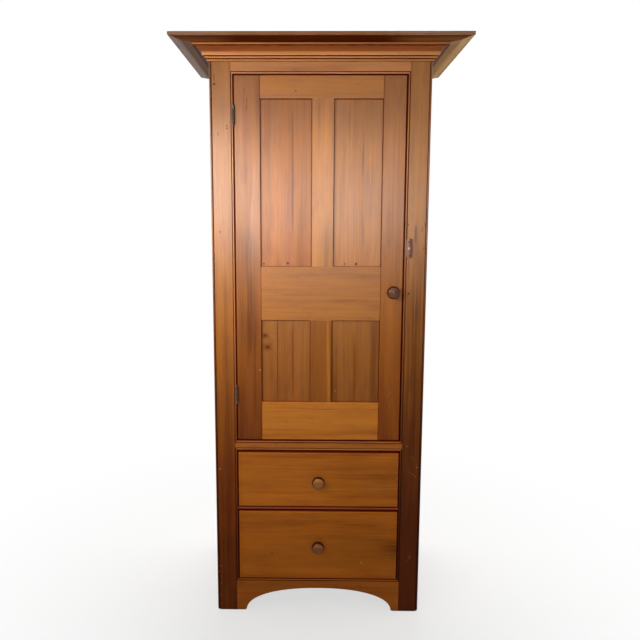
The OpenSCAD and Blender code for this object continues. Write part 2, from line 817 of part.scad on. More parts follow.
// Drawers: d is 0 for the lower one and 1 for the upper one
function side_z0(d) = drawer_floor[d] + run;
function side_z1(d) = drawer_head[d] - side_drop;
function bottom_z(d) = side_z0(d) + bottom_rise;

// Outline of a row of dovetails as seen from the side, from their shoulder y0 to their ends y1
module tail_row(d, y0, y1) {
  pitch = (side_z1(d) - side_z0(d)) / drawer_tails[d];
  flare = abs(y1 - y0) * tail_slope;
  root = y0 - cut * sign(y1 - y0);
  waist = 0.3 * pitch;
  for (k = [0:drawer_tails[d] - 1])
    translate([0, side_z0(d) + (k + 0.5) * pitch])
      polygon([[y0, -waist], [root, -waist], [root, waist], [y0, waist],
               [y1, waist + flare], [y1, -waist - flare]]);
}
module front_tails(d, past = 0) {
  run_across(drawer_x - drawer_side_t, drawer_x + past)
    tail_row(d, front_y + front_t, front_y + dovetail_lap);
}
module back_tails(d, past = 0) {
  run_across(drawer_x - drawer_side_t, drawer_x + past)
    tail_row(d, drawer_back_y - drawer_side_t, drawer_back_y + past);
}

module drawer_bottom(d, play = 0) {
  reach = drawer_side_t / 2 - (play > 0 ? 0 : 0.5);
  board(-drawer_x + drawer_side_t - reach, drawer_x - drawer_side_t + reach,
        front_y + front_t - reach, drawer_back_y + (play > 0 ? cut : 0),
        bottom_z(d) - play, bottom_z(d) + drawer_bottom_t + play);
}
module drawer_front(d) {
  edge_r = 2;
  z0 = drawer_floor[d] + front_lift;
  color(pine_gold) difference() {
    run_across(-drawer_x, drawer_x) {
      translate([front_y + edge_r, z0]) square([front_t - edge_r, drawer_head[d] - z0]);
      translate([front_y, z0 + edge_r]) square([edge_r, drawer_head[d] - z0 - 2 * edge_r]);
      intersection() {
        translate([front_y, z0]) square(edge_r);
        translate([front_y + edge_r, z0 + edge_r]) circle(edge_r);
      }
      intersection() {
        translate([front_y, drawer_head[d] - edge_r]) square(edge_r);
        translate([front_y + edge_r, drawer_head[d] - edge_r]) circle(edge_r);
      }
    }
    for (side = [-1, 1]) on_side(side) front_tails(d, cut);
    drawer_bottom(d, fit);
    knob_bore(0, knob_z(d));
  }
}
module drawer_side(d, side) {
  color(pine_raw) difference() {
    on_side(side) {
      board(drawer_x - drawer_side_t, drawer_x, front_y + front_t, drawer_back_y - drawer_side_t,
            side_z0(d), side_z1(d));
      front_tails(d);
      back_tails(d);
    }
    drawer_bottom(d, fit);
  }
}
module drawer_back(d) {
  color(pine_raw) difference() {
    board(-drawer_x, drawer_x, drawer_back_y - drawer_side_t, drawer_back_y,
          bottom_z(d) + drawer_bottom_t, side_z1(d));
    for (side = [-1, 1]) on_side(side) back_tails(d, cut);
  }
}
function knob_z(d) = (drawer_floor[d] + front_lift + drawer_head[d]) / 2 + knob_shift[d];

module lower_drawer_front() drawer_front(0);
module lower_drawer_left_side() drawer_side(0, -1);
module lower_drawer_right_side() drawer_side(0, 1);
module lower_drawer_back() drawer_back(0);
module lower_drawer_bottom() color(pine_raw) drawer_bottom(0);
module lower_drawer_knob() color(pine_dark) knob(0, knob_z(0), front_t, 0.5);
module upper_drawer_front() drawer_front(1);
module upper_drawer_left_side() drawer_side(1, -1);
module upper_drawer_right_side() drawer_side(1, 1);
module upper_drawer_back() drawer_back(1);
module upper_drawer_bottom() color(pine_raw) drawer_bottom(1);
module upper_drawer_knob() color(pine_dark) knob(0, knob_z(1), front_t, 0.5);

left_side();
right_side();
top_board();
cupboard_floor();
lower_shelf();
middle_shelf();
upper_shelf();
back_boards();
left_face_stile();
right_face_stile();
top_rail();
mid_rail();
drawer_divider();
apron();
upper_drawer_runners();
lower_drawer_runners();
drawer_kickers();
drawer_guides();
drawer_stops();
glue_blocks();
door_stop();
bed_mould_front();
bed_mould_left();
bed_mould_right();
crown_front();
crown_left();
crown_right();
hinge_case_leaves();
hinge_pins();
case_hinge_screws();
turn_button_screw();
turn_button();
door_hinge_stile();
door_latch_stile();
door_top_rail();
door_lock_rail();
door_bottom_rail();
door_upper_muntin();
door_lower_muntin();
upper_left_panel();
upper_right_panel();
lower_left_panel();
lower_right_panel();
door_knob();
hinge_door_leaves();
door_hinge_screws();
upper_drawer_front();
upper_drawer_left_side();
upper_drawer_right_side();
upper_drawer_back();
upper_drawer_bottom();
upper_drawer_knob();
lower_drawer_front();
lower_drawer_left_side();
lower_drawer_right_side();
lower_drawer_back();
lower_drawer_bottom();
lower_drawer_knob();
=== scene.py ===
import bmesh
import bpy
import math
import random
from mathutils import Matrix, Vector


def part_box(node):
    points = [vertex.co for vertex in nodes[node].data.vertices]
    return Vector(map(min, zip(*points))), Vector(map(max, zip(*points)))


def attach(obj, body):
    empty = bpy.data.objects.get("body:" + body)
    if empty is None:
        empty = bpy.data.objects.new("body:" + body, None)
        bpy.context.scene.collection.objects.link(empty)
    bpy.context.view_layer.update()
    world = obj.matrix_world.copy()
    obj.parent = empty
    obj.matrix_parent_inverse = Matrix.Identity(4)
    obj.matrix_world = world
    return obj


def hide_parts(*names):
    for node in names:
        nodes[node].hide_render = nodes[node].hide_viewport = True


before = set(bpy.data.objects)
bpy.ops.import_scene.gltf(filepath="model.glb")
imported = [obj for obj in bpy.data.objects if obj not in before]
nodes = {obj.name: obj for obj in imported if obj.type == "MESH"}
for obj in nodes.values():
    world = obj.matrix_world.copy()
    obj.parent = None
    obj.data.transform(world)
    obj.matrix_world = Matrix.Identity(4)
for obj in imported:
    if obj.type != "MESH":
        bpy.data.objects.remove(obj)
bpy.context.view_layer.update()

# Camera
# A person stands a little left of the cupboard's middle and holds the camera level with its upper
# panels, tipped slightly down. The lens and place are those that the straight edges gave.
scene = bpy.context.scene
frame_px, focal_px, middle_px = 640, 650, (306.59, 313.77)
eye = Vector((-0.016, -2.5095, 1.474))
yaw, pitch, roll = math.radians(-0.72), math.radians(8.07), math.radians(0.16)
ahead = Vector((math.sin(yaw) * math.cos(pitch), math.cos(yaw) * math.cos(pitch), -math.sin(pitch)))
level = Vector((math.cos(yaw), -math.sin(yaw), 0))
upright = level.cross(ahead)
across = level * math.cos(roll) + upright * math.sin(roll)
above = upright * math.cos(roll) - level * math.sin(roll)
camera = bpy.data.objects.new("camera", bpy.data.cameras.new("camera"))
camera.data.sensor_width = 36
camera.data.lens = camera.data.sensor_width * focal_px / frame_px
camera.data.shift_x = 0.5 - middle_px[0] / frame_px
camera.data.shift_y = middle_px[1] / frame_px - 0.5
camera.data.clip_end = 60
turn = Matrix((across, above, -ahead)).transposed()
camera.matrix_world = Matrix.Translation(eye) @ turn.to_4x4()
scene.collection.objects.link(camera)
scene.camera = camera
scene.view_settings.view_transform = "Standard"


# Floor and backdrop
# A plain pale floor that sweeps up into a pale backdrop far behind the cupboard. It is painted
# card: the camera sees it almost white, and it keeps the shadow of the cupboard.
def fill_sockets(node, sockets):
    """Gives a node's sockets their values, or links them to brushes."""
    for name, value in sockets.items():
        if isinstance(value, Brush):
            node.id_data.links.new(value.socket, node.inputs[name])
        elif isinstance(value, tuple) and node.inputs[name].type == "RGBA":
            node.inputs[name].default_value = (*value, 1)
        else:
            node.inputs[name].default_value = value


class Brush:
    """One socket of a finish. A sum on it adds the Math or Vector Math node that works it out."""

    def __init__(self, socket):
        self.socket = socket

    def add(self, kind, settings=None, sockets=None, output=0):
        """A new node beside this one: its type, its settings, then its sockets' values or links."""
        node = self.socket.id_data.nodes.new(kind)
        for name, value in (settings or {}).items():
            setattr(node, name, value)
        fill_sockets(node, sockets or {})
        return Brush(node.outputs[output])

    def sum(self, operation, other=0.0, swapped=False):
        """This and another value, or this and another place, put through one operation."""
        kind = "ShaderNodeVectorMath" if self.socket.type == "VECTOR" else "ShaderNodeMath"
        pair = (other, self) if swapped else (self, other)
        return self.add(kind, {"operation": operation}, dict(enumerate(pair)))

    def axis(self, letter):
        """One coordinate of this place."""
        return self.add("ShaderNodeSeparateXYZ", None, {0: self}, "XYZ".index(letter))

    def point(self, second, third=0.0):
        """The place whose first coordinate this value is."""
        return self.add("ShaderNodeCombineXYZ", None, {0: self, 1: second, 2: third})

    def length(self):
        """How far this place lies from the origin."""
        return self.add("ShaderNodeVectorMath", {"operation": "LENGTH"}, {0: self}, 1)

    def noise(self, scale, detail, rough=0.5):
        """Soft clouds over this place."""
        return self.add("ShaderNodeTexNoise", None, {
            "Vector": self, "Scale": scale, "Detail": detail, "Roughness": rough})

    def smooth(self, low, high, start=0.0, end=1.0):
        """Goes from start to end as this value goes from low to high."""
        return self.add("ShaderNodeMapRange", {"interpolation_type": "SMOOTHSTEP"}, {
            "Value": self, "From Min": low, "From Max": high, "To Min": start, "To Max": end})

    def fade(self, low, high, start=1.0):
        """Goes from start to nothing as this value goes from low to high."""
        return self.smooth(low, high, start, 0.0)

    def between(self, first, second):
        """The first colour where this value is 0, the second where it is 1."""
        return self.add("ShaderNodeMix", {"data_type": "RGBA"}, {0: self, 6: first, 7: second}, 2)

    def blend(self, other, share, how="MIX"):
        """This colour with another laid on it, by the share."""
        return self.add("ShaderNodeMix", {"data_type": "RGBA", "blend_type": how},
                        {0: share, 6: self, 7: other}, 2)

    def glaze(self, tint, share):
        """This colour under a thin tinted glaze, by the share."""
        return self.blend(tint, share, "MULTIPLY")

    def relief(self, strength, depth):
        """Raised and sunk places of the surface, from this value."""
        return self.add("ShaderNodeBump", None, {
            "Strength": strength, "Distance": depth, "Height": self})

    def __add__(self, other):
        return self.sum("ADD", other)

    def __radd__(self, other):
        return self.sum("ADD", other, True)

    def __sub__(self, other):
        return self.sum("SUBTRACT", other)

    def __rsub__(self, other):
        return self.sum("SUBTRACT", other, True)

    def __mul__(self, other):
        return self.sum("MULTIPLY", other)

    def __rmul__(self, other):
        return self.sum("MULTIPLY", other, True)

    def __truediv__(self, other):
        return self.sum("DIVIDE", other)

    def __rtruediv__(self, other):
        return self.sum("DIVIDE", other, True)

    def __abs__(self):
        return self.sum("ABSOLUTE")


def paint(red, green, blue):
    """A colour as it shows, 0 to 255, in the linear numbers that a finish takes."""
    return tuple((c / 255 / 12.92) if c < 11 else ((c / 255 + 0.055) / 1.055) ** 2.4
                 for c in (red, green, blue))


def new_finish(name):
    """An empty material: the material, its surface shader, and a brush on the place in metres."""
    material = bpy.data.materials.new(name)
    material.use_nodes = True
    surface = material.node_tree.nodes["Principled BSDF"]
    place = material.node_tree.nodes.new("ShaderNodeTexCoord").outputs["Object"]
    return material, surface, Brush(place)


sweep_radius, floor_reach, wall_y, wall_top, half_width = 1.2, 9.0, 6.0, 9.0, 12.0
sweep_steps = 12
under_feet = 0.0005
profile = [(-floor_reach, 0.0)]
for step in range(sweep_steps + 1):
    angle = math.radians(90 * step / sweep_steps)
    profile.append((wall_y - sweep_radius + sweep_radius * math.sin(angle),
                    sweep_radius - sweep_radius * math.cos(angle)))
profile.append((wall_y, wall_top))
sweep = bmesh.new()
left_row, right_row = ([sweep.verts.new((x, y, z - under_feet)) for y, z in profile]
                       for x in (-half_width, half_width))
for near in range(len(profile) - 1):
    sweep.faces.new((left_row[near], right_row[near], right_row[near + 1],
                     left_row[near + 1])).smooth = True
floor_mesh = bpy.data.meshes.new("floor")
sweep.to_mesh(floor_mesh)
sweep.free()
floor = bpy.data.objects.new("floor", floor_mesh)
scene.collection.objects.link(floor)
card, card_surface, spot = new_finish("pale_card")
camera_ray, glossy_ray, clear_ray = (
    spot.add("ShaderNodeLightPath", output=ray)
    for ray in ("Is Camera Ray", "Is Glossy Ray", "Is Transmission Ray"))
card.node_tree.nodes.remove(card_surface)
paper = spot.add("ShaderNodeBsdfDiffuse", None, {"Color": paint(205, 202, 198)})
white = spot.add("ShaderNodeBsdfDiffuse", None, {"Color": (1.0, 1.0, 1.0)})
bright = spot.add("ShaderNodeEmission", None, {"Color": (1.0, 1.0, 1.0), "Strength": 1.0})
# close to the cupboard the card keeps the shadow, further off it is plain white
far = spot.length().smooth(0.3, 1.9, 0.62)
shown = spot.add("ShaderNodeMixShader", None, {0: far, 1: white, 2: bright})
seen = camera_ray + glossy_ray + clear_ray
fill_sockets(card.node_tree.nodes["Material Output"], {
    "Surface": spot.add("ShaderNodeMixShader", None, {0: seen, 1: paper, 2: shown})})
floor_mesh.materials.append(card)


# Lamps
# A window to the left and a soft lamp behind the camera shine on the upper half of the front, and
# four wide weak ones beside, behind and over the cupboard fill the sides, the back and the top.
def hang_lamp(name, at, aim, size, power, warmth, spread=180, mirrored=True):
    """A soft lamp with a rectangular face, aimed at a place and hidden from the camera."""
    lamp = bpy.data.objects.new(name, bpy.data.lights.new(name, "AREA"))
    lamp.data.shape = "RECTANGLE"
    lamp.data.size, lamp.data.size_y = size
    lamp.data.energy = power
    lamp.data.color = warmth
    lamp.data.spread = math.radians(spread)
    lamp.location = at
    lamp.rotation_euler = (Vector(aim) - Vector(at)).to_track_quat("-Z", "Y").to_euler()
    lamp.visible_camera = False
    lamp.visible_glossy = mirrored
    scene.collection.objects.link(lamp)


lamp_white = (1.0, 0.99, 0.97)
hang_lamp("window_lamp", (-0.92, -1.15, 1.64), (-0.35, -0.2, 1.4), (0.9, 0.6), 4.4,
          (1.0, 0.985, 0.96), 90)
hang_lamp("camera_lamp", (-0.2, -3.2, 1.62), (0.0, 0.0, 1.5), (2.0, 0.5), 25, (1.0, 0.98, 0.96))
hang_lamp("left_lamp", (-3.0, 0.5, 1.5), (0.0, 0.1, 1.0), (1.6, 1.8), 20, lamp_white)
hang_lamp("right_lamp", (3.0, 0.5, 1.5), (0.0, 0.1, 1.0), (1.6, 1.8), 26, lamp_white)
# mirrored in the sides from the front, this one would hide their wood
hang_lamp("back_lamp", (0.3, 3.6, 1.7), (0.0, 0.1, 1.0), (1.8, 1.6), 40, lamp_white,
          mirrored=False)
hang_lamp("top_lamp", (0.0, 0.8, 4.7), (0.0, 0.1, 2.08), (1.6, 1.0), 20, lamp_white, 80)
room = bpy.data.worlds.new("room")
room.use_nodes = True
dim = room.node_tree.nodes["Background"]
fill_sockets(dim, {"Color": (0.97, 0.98, 1.0), "Strength": 0.18})
air = Brush(dim.outputs[0])
# past the edge of the card the camera sees plain white
sight = air.add("ShaderNodeLightPath", output="Is Camera Ray")
plain = air.add("ShaderNodeBackground", None, {"Color": (1.0, 1.0, 1.0), "Strength": 1.0})
fill_sockets(room.node_tree.nodes["World Output"], {
    "Surface": air.add("ShaderNodeMixShader", None, {0: sight, 1: air, 2: plain})})
scene.world = room

# Sides of the case
# Two wide pine boards run from the floor to the crown, housed on their inner faces for the floor,
# the shelves and the top. They are planed by hand and varnished outside, and left bare inside.
front_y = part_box("left_face_stile")[0].y
inner_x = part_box("right_side")[0].x
# bare wood starts this far under its face, so that no speck of varnish shows there
skin = 0.0003


def in_front(place):
    """1 on the face of the front, and 0 a little behind it, where dirt, painted shade and painted
    highlights along quirks and gaps end.
    """
    return (place.axis("Y") - front_y).fade(0.008, 0.013)


def pine(node, lie, top, low, seed, ring=0.0042, pith=(0.03, 0.06), lean=0.012, strong=0.6,
         bare=None, knots=(), stains_and_painted_light=(), spots=(), scratches=(), lines=(), painted_shade=None, edge_dirt_and_shade=0.5,
         gloss=0.42, varnish=1.0, crown_shade=1.0, through=False, sheen=0.05, name=None):
    """Old pine. lie gives the axes along the grain, across the board and through it; top and low
    are its tones at the crown and at the floor. The growth rings are ring wide, their pith lies
    off the board's middle and leans along it, and strong is how dark they are.

    Knots have a place across and along and a size, and spots a tone too. Scratches have two ends,
    a width and a tone. Bands run along the grain, given by place across, width, from, to and
    tone: most are stains, and some are painted sheen and painted shade. Lines are given by axis,
    place, half width and tone: dark ones are dirt and painted shade in quirks, joints and gaps,
    pale ones painted highlights on crests and arrises; they end a little behind the front unless
    they run through. Painted shade darkens the side past a given place, and the strip under the
    crown. Dirt and painted shade lie along the board's edges. Bare turns the side past a place
    unvarnished."""
    low_corner, high_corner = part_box(node)
    material, surface, place = new_finish(name or "pine_" + node)
    axis = {letter: place.axis(letter) for letter in "XYZ"}
    centre = dict(zip("XYZ", (low_corner + high_corner) / 2))
    half = dict(zip("XYZ", (high_corner - low_corner) / 2))
    along, wide, deep = (axis[letter] - centre[letter] for letter in lie)
    dice = random.Random(seed)
    shift = [dice.uniform(-40, 40) for _ in range(3)]

    def figure(across_scale, along_scale, detail, rough=0.55):
        """Clouds drawn out along the grain."""
        drawn = (wide * across_scale + shift[0]).point(
            deep * across_scale + shift[1], along * along_scale + shift[2])
        return drawn.noise(1.0, detail, rough)

    def away(u, a, squeeze=1.0, sway=0.0):
        """Distance from a mark on the face; a squeeze under 1 draws it out along the grain."""
        aside = wide - (u - centre[lie[1]]) + sway
        return aside.point((along - (a - centre[lie[0]])) * squeeze).length()

    # growth rings round a pith that lies behind the face and leans along the board
    drift = figure(5.0, 1.1, 2.0)
    bend = (drift - 0.5) * 0.05
    for u, a, size in knots:
        bend = bend + away(u, a, 0.55).fade(0.0, size * 6, 0.028)
    rings = (wide + along * lean - pith[0] + bend).point(deep - pith[1]).length() / ring
    year = rings.sum("FRACT")
    late_wood = year.smooth(0.35, 0.86) * year.fade(0.9, 1.0)
    fibre = figure(420.0, 9.0, 2.0)
    thread = figure(130.0, 2.6, 4.0, 0.62)
    streak = figure(34.0, 1.6, 3.0)
    mottle = figure(40.0, 9.0, 5.0, 0.66)
    broad = figure(9.0, 1.3, 2.0)
    # darker towards the floor: partly dirt and wear, partly painted shade where less light reaches
    colour = axis["Z"].smooth(0.3, 1.8).between(paint(*low), paint(*top))
    # painted shade under the crown darkens the strip below it
    colour = colour.glaze((0.76, 0.74, 0.74), axis["Z"].smooth(1.70, 1.88) * crown_shade)
    colour = colour.glaze((1.16, 1.12, 1.0), broad.smooth(0.48, 0.70))
    colour = colour.glaze((0.80, 0.73, 0.68), streak.smooth(0.50, 0.72))
    colour = colour.glaze((1.09, 1.08, 1.03), streak.smooth(0.5, 0.3))
    colour = colour.glaze((0.68, 0.56, 0.45), late_wood * (broad * 0.55 + 0.12) * strong)
    # golden and pinkish patches where the varnish lies thick or thin
    colour = colour.glaze((1.07, 1.04, 0.74), mottle.smooth(0.51, 0.63))
    colour = colour.glaze((0.93, 0.88, 0.96), mottle.smooth(0.49, 0.36))
    colour = colour.glaze((0.74, 0.64, 0.58), thread.smooth(0.55, 0.72) * 0.42)
    colour = colour.glaze((1.09, 1.08, 1.06), thread.smooth(0.45, 0.30))
    colour = colour.glaze((0.72, 0.62, 0.52), fibre.smooth(0.52, 0.75) * 0.3)
    # stains and paler or darker bands, some of them painted sheen and painted shade, that run
    # along the grain at their own places
    for u, width, start, end, tone in stains_and_painted_light:
        off = abs(wide - (u - centre[lie[1]]) + (streak - 0.5) * 0.012)
        run = axis[lie[0]].smooth(start, start + 0.12) * axis[lie[0]].fade(end - 0.12, end)
        colour = colour.glaze(tone, off.fade(0.0, width) * run * thread.smooth(0.25, 0.55))
    for u, a, size in knots:
        reach = away(u, a, 1.3, (streak - 0.5) * 0.006)
        colour = colour.glaze((0.42, 0.30, 0.24), reach.fade(size * 0.5, size, 0.85))
        colour = colour.glaze((0.70, 0.58, 0.48), reach.fade(size, size * 2.6, 0.8))
    # darker along the edges and at the ends: dirt that cleaning leaves, and painted shade where
    # the boards meet others
    bands = [abs(axis[letter] - centre[letter]).smooth(half[letter] - 0.022, half[letter] - 0.001)
             for letter in lie[:2]]
    rim = bands[0].sum("MAXIMUM", bands[1])
    colour = colour.glaze((0.62, 0.50, 0.42), rim * broad.smooth(0.3, 0.7, 0.25, 1.0) * edge_dirt_and_shade)
    # dark lines of dirt and painted shade in quirks, joints and gaps, and pale lines of painted
    # highlight on crests and arrises; where a line is dark it takes the varnish's gloss, as wear
    # does
    bared = []
    dirt_depth = 1.0 if through else in_front(place)
    for letter, at, reach, tone in lines:
        off = abs(axis[letter] - at) + (fibre - 0.5) * reach * 0.5
        mark = off.fade(reach * 0.55, reach * 1.3) * dirt_depth
        colour = colour.glaze(tone, mark)
        if tone[0] < 0.6:
            bared.append(mark)
    # painted shade on the side past a place, as under the crown
    if painted_shade:
        letter, at, inward, reach, tone = painted_shade
        colour = colour.glaze(tone, ((axis[letter] - at) * inward).smooth(0.0, reach))
    # dents, nail holes and scratches of use
    dents = 0.0
    for u, a, size, tone in spots:
        mark = (away(u, a) + (fibre - 0.5) * size * 0.5).fade(size * 0.6, size)
        colour = colour.blend(paint(*tone), mark * 0.85)
        bared.append(mark)
        dents = dents + mark
    for (u0, a0), (u1, a1), width, tone in scratches:
        length = math.hypot(u1 - u0, a1 - a0)
        du, da = (u1 - u0) / length, (a1 - a0) / length
        right, up = wide - (u0 - centre[lie[1]]), along - (a0 - centre[lie[0]])
        onward = right * du + up * da
        aside = abs(right * da - up * du + (drift - 0.5) * 0.01)
        mark = aside.fade(width * 0.4, width) * onward.smooth(0.0, length * 0.3) \
            * onward.fade(length * 0.7, length) * fibre.smooth(0.3, 0.6, 0.35, 0.85)
        colour = colour.blend(paint(*tone), mark)
        bared.append(mark)
        dents = dents + mark * 0.4
    shine = broad * 0.22 + late_wood * -0.05 + (gloss - 0.11)
    if bare:
        letter, edge, inward = bare
        raw = ((axis[letter] - edge) * inward).smooth(0.0, 0.0006)
        dry = broad.between(paint(148, 104, 64), paint(190, 148, 100))
        dry = dry.glaze((0.70, 0.60, 0.50), late_wood * 0.55)
        dry = dry.glaze((0.74, 0.66, 0.58), streak.smooth(0.5, 0.75) * 0.6)
        # bare wood is darker along its edges too: dirt and painted shade
        dry = dry.glaze((0.60, 0.52, 0.45), rim * 0.5)
        colour = colour.blend(dry, raw)
        shine = shine + raw * 0.3
        bared.append(raw)
    if varnish:
        # the varnish is whole and glossy high up, and worn thin and dull towards the floor
        coat = axis["Z"].smooth(0.95, 1.5, 0.03, 0.82) * (broad * 0.9 + thread * 0.3 + 0.4)
        coat = coat * varnish
        for mark in bared:
            coat = coat * (1.0 - mark)
        fill_sockets(surface, {"Coat Weight": coat, "Coat Roughness": 0.3, "Coat IOR": 1.65})
    height = late_wood * 0.35 + fibre * 0.5 + (drift - dents) * 3.0
    fill_sockets(surface, {"Base Color": colour, "Roughness": shine, "Specular IOR Level": sheen,
                           "Normal": height.relief(0.35, 0.0008)})
    return material


def worn(name, top, low, dark=()):
    """An eased arris, in tones of its own: most are rubbed paler than the face by hands, cloths and
    brooms, and the case's are painted darker as shade. Beside a gap, given by axis and place, it is
    dark with dirt and painted shade."""
    material, surface, place = new_finish(name)
    rub = place.noise(26.0, 3.0)
    colour = place.axis("Z").smooth(0.1, 1.75).between(paint(*low), paint(*top))
    colour = colour.glaze((0.55, 0.45, 0.38), rub.smooth(0.42, 0.62))
    for letter, at in dark:
        near = abs(place.axis(letter) - at).fade(0.002, 0.004)
        # dirt and painted shade beside a gap
        colour = colour.glaze((0.40, 0.12, 0.06), near * in_front(place))
    fill_sockets(surface, {
        "Base Color": colour, "Roughness": rub * 0.3 + 0.42, "Specular IOR Level": 0.04})
    return material


def work_in(thing):
    """The thing's mesh with its modifiers worked in, in place of them."""
    bpy.context.view_layer.update()
    mesh = bpy.data.meshes.new_from_object(thing.evaluated_get(
        bpy.context.evaluated_depsgraph_get()))
    thing.modifiers.clear()
    thing.data = mesh
    return mesh


def ease(node, body, finish, arris=0.0009, edge=None, joints=()):
    """The CAD board with its outer arrises taken off; the eased faces get the edge finish. Where
    it meets its neighbour in a joint, given by axis and place, the edge stays sharp."""
    one_point, at_joint, too_short = 3e-6, 0.0004, 0.006
    flat, corner = math.radians(0.5), math.radians(30)
    shape = bmesh.new()
    shape.from_mesh(nodes[node].data)
    bmesh.ops.remove_doubles(shape, verts=shape.verts, dist=one_point)
    bmesh.ops.dissolve_limit(shape, angle_limit=flat, verts=shape.verts, edges=shape.edges,
                             delimit={"NORMAL"})
    weight = shape.edges.layers.float.new("bevel_weight_edge")
    for side in shape.edges:
        shut = any(all(abs(v.co["XYZ".index(letter)] - at) < at_joint for v in side.verts)
                   for letter, at in joints)
        if not shut and side.is_manifold and side.calc_length() > too_short and \
                side.calc_face_angle_signed(0) > corner:
            side[weight] = 1.0
    for face in shape.faces:
        face.smooth = True
    sharp = bpy.data.meshes.new("sharp_" + node)
    shape.to_mesh(sharp)
    shape.free()
    board = bpy.data.objects.new("eased_" + node, sharp)
    scene.collection.objects.link(board)
    sharp.materials.append(finish)
    sharp.materials.append(edge or finish)
    plane = board.modifiers.new("arris", "BEVEL")
    plane.limit_method = "WEIGHT"
    plane.width = arris
    plane.segments = 2
    plane.material = 1
    eased = work_in(board)
    # strips without width, left where two eased edges meet, are taken out
    no_width = 2e-6
    whole = bmesh.new()
    whole.from_mesh(eased)
    bmesh.ops.remove_doubles(whole, verts=whole.verts, dist=no_width)
    bmesh.ops.dissolve_degenerate(whole, edges=whole.edges, dist=no_width)
    whole.to_mesh(eased)
    whole.free()
    eased.name = "eased_" + node
    eased.set_sharp_from_angle(angle=math.radians(20))
    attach(board, body)
    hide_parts(node)
    return board


# the case's eased arrises are painted darker than its faces: painted shade on the rounded edges,
# with rubbed patches
case_arris_wear_and_shade = worn("worn_and_shaded_case_arris", (122, 86, 58), (76, 44, 22))
for side, hand, seed, side_knots in (
        ("left_side", -1, 3, ((0.13, 1.32, 0.011), (-0.05, 0.71, 0.008))),
        ("right_side", 1, 8, ((0.06, 1.62, 0.009), (0.20, 0.52, 0.012)))):
    finish = pine(side, "ZYX", (186, 120, 62), (142, 84, 42), seed, ring=0.0055,
                  pith=(0.02 * hand, -0.05 * hand), lean=0.02,
                  bare=("X", (inner_x + skin) * hand, -hand), knots=side_knots, edge_dirt_and_shade=0.6,
                  varnish=0.2)
    ease(side, "case", finish, 0.001, case_arris_wear_and_shade)

# Floor, shelves and top of the cupboard
# Plain pine boards slid into their housings, planed on top and never varnished. They have aged to
# a dry honey brown, with rings and rubbed edges where things were set down and taken out.
for board, seed, top, low in (
        ("cupboard_floor", 11, (186, 142, 92), (168, 122, 76)),
        ("lower_shelf", 12, (192, 148, 98), (176, 130, 84)),
        ("middle_shelf", 13, (188, 146, 96), (172, 126, 80)),
        ("upper_shelf", 14, (194, 150, 100), (180, 134, 86)),
        ("top_board", 15, (150, 122, 92), (150, 116, 82))):
    finish = pine(board, "XYZ", top, low, seed, ring=0.006, pith=(0.04, -0.08), lean=0.03,
                  knots=((0.06, -0.12, 0.008),), edge_dirt_and_shade=0.7, gloss=0.66, varnish=0.0)
    ease(board, "case", finish, 0.0012)


# Back boards
# Four boards of random width, tongued and grooved, left straight from the saw. Cut nails with
# rusty heads hold them to the floor, the shelves, the top and the rebates of the sides.
def nail_heads(material, columns, rows, lie):
    """Rusty heads of cut nails, let in flush at every crossing of the columns and rows."""
    surface = material.node_tree.nodes["Principled BSDF"]
    wood = Brush(surface.inputs["Base Color"].links[0].from_socket)
    place = wood.add("ShaderNodeTexCoord", output="Object")

    def nearest(letter, lines):
        gap = abs(place.axis(letter) - lines[0])
        for line in lines[1:]:
            gap = gap.sum("MINIMUM", abs(place.axis(letter) - line))
        return gap

    off_u, off_a = nearest(lie[0], columns), nearest(lie[1], rows)
    half_wide, half_tall = 0.0016, 0.003
    square = (off_u / half_wide).sum("MAXIMUM", off_a / half_tall)
    halo = off_u.point(off_a * 0.45).length()
    wood = wood.glaze((0.42, 0.34, 0.30), halo.fade(0.001, 0.010, 0.75))
    rust = place.noise(300.0, 2.0).smooth(0.4, 0.6)
    iron = rust.between(paint(48, 36, 30), paint(96, 58, 38))
    fill_sockets(surface, {"Base Color": wood.blend(iron, square.fade(0.9, 1.1))})


nail_rows = [sum(corner.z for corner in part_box(board)) / 2 for board in
             ("cupboard_floor", "lower_shelf", "middle_shelf", "upper_shelf", "top_board")]
back_low, back_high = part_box("back_boards")
back_wide = back_high.x - back_low.x
back_splits = [back_low.x + back_wide * share for share in (0, 0.27, 0.5, 0.76, 1)]
nail_inset = 0.035
finish = pine("back_boards", "ZXY", (170, 134, 96), (134, 100, 70), 21, ring=0.005,
              pith=(0.05, 0.09), lean=0.02, edge_dirt_and_shade=0.4, gloss=0.75, varnish=0.0,
              knots=((-0.27, 1.48, 0.012), (-0.11, 0.62, 0.009), (0.10, 1.18, 0.013),
                     (0.28, 1.86, 0.010), (0.24, 0.34, 0.012)))
nail_heads(finish, [x for left, right in zip(back_splits, back_splits[1:])
                    for x in (left + nail_inset, right - nail_inset)], nail_rows, "XZ")
ease("back_boards", "case", finish, 0.0008)

# Face frame: the two stiles
# Straight-grained stiles with a bead run along either edge, mortised for the rails and glued to
# the sides. They darken towards the floor, partly from hands and mops and partly as painted shade,
# and painted shade darkens them under the crown.
behind = ("Y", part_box("left_face_stile")[1].y - skin, 1)
outer_edge, opening_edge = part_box("right_face_stile")[1].x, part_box("left_face_stile")[1].x
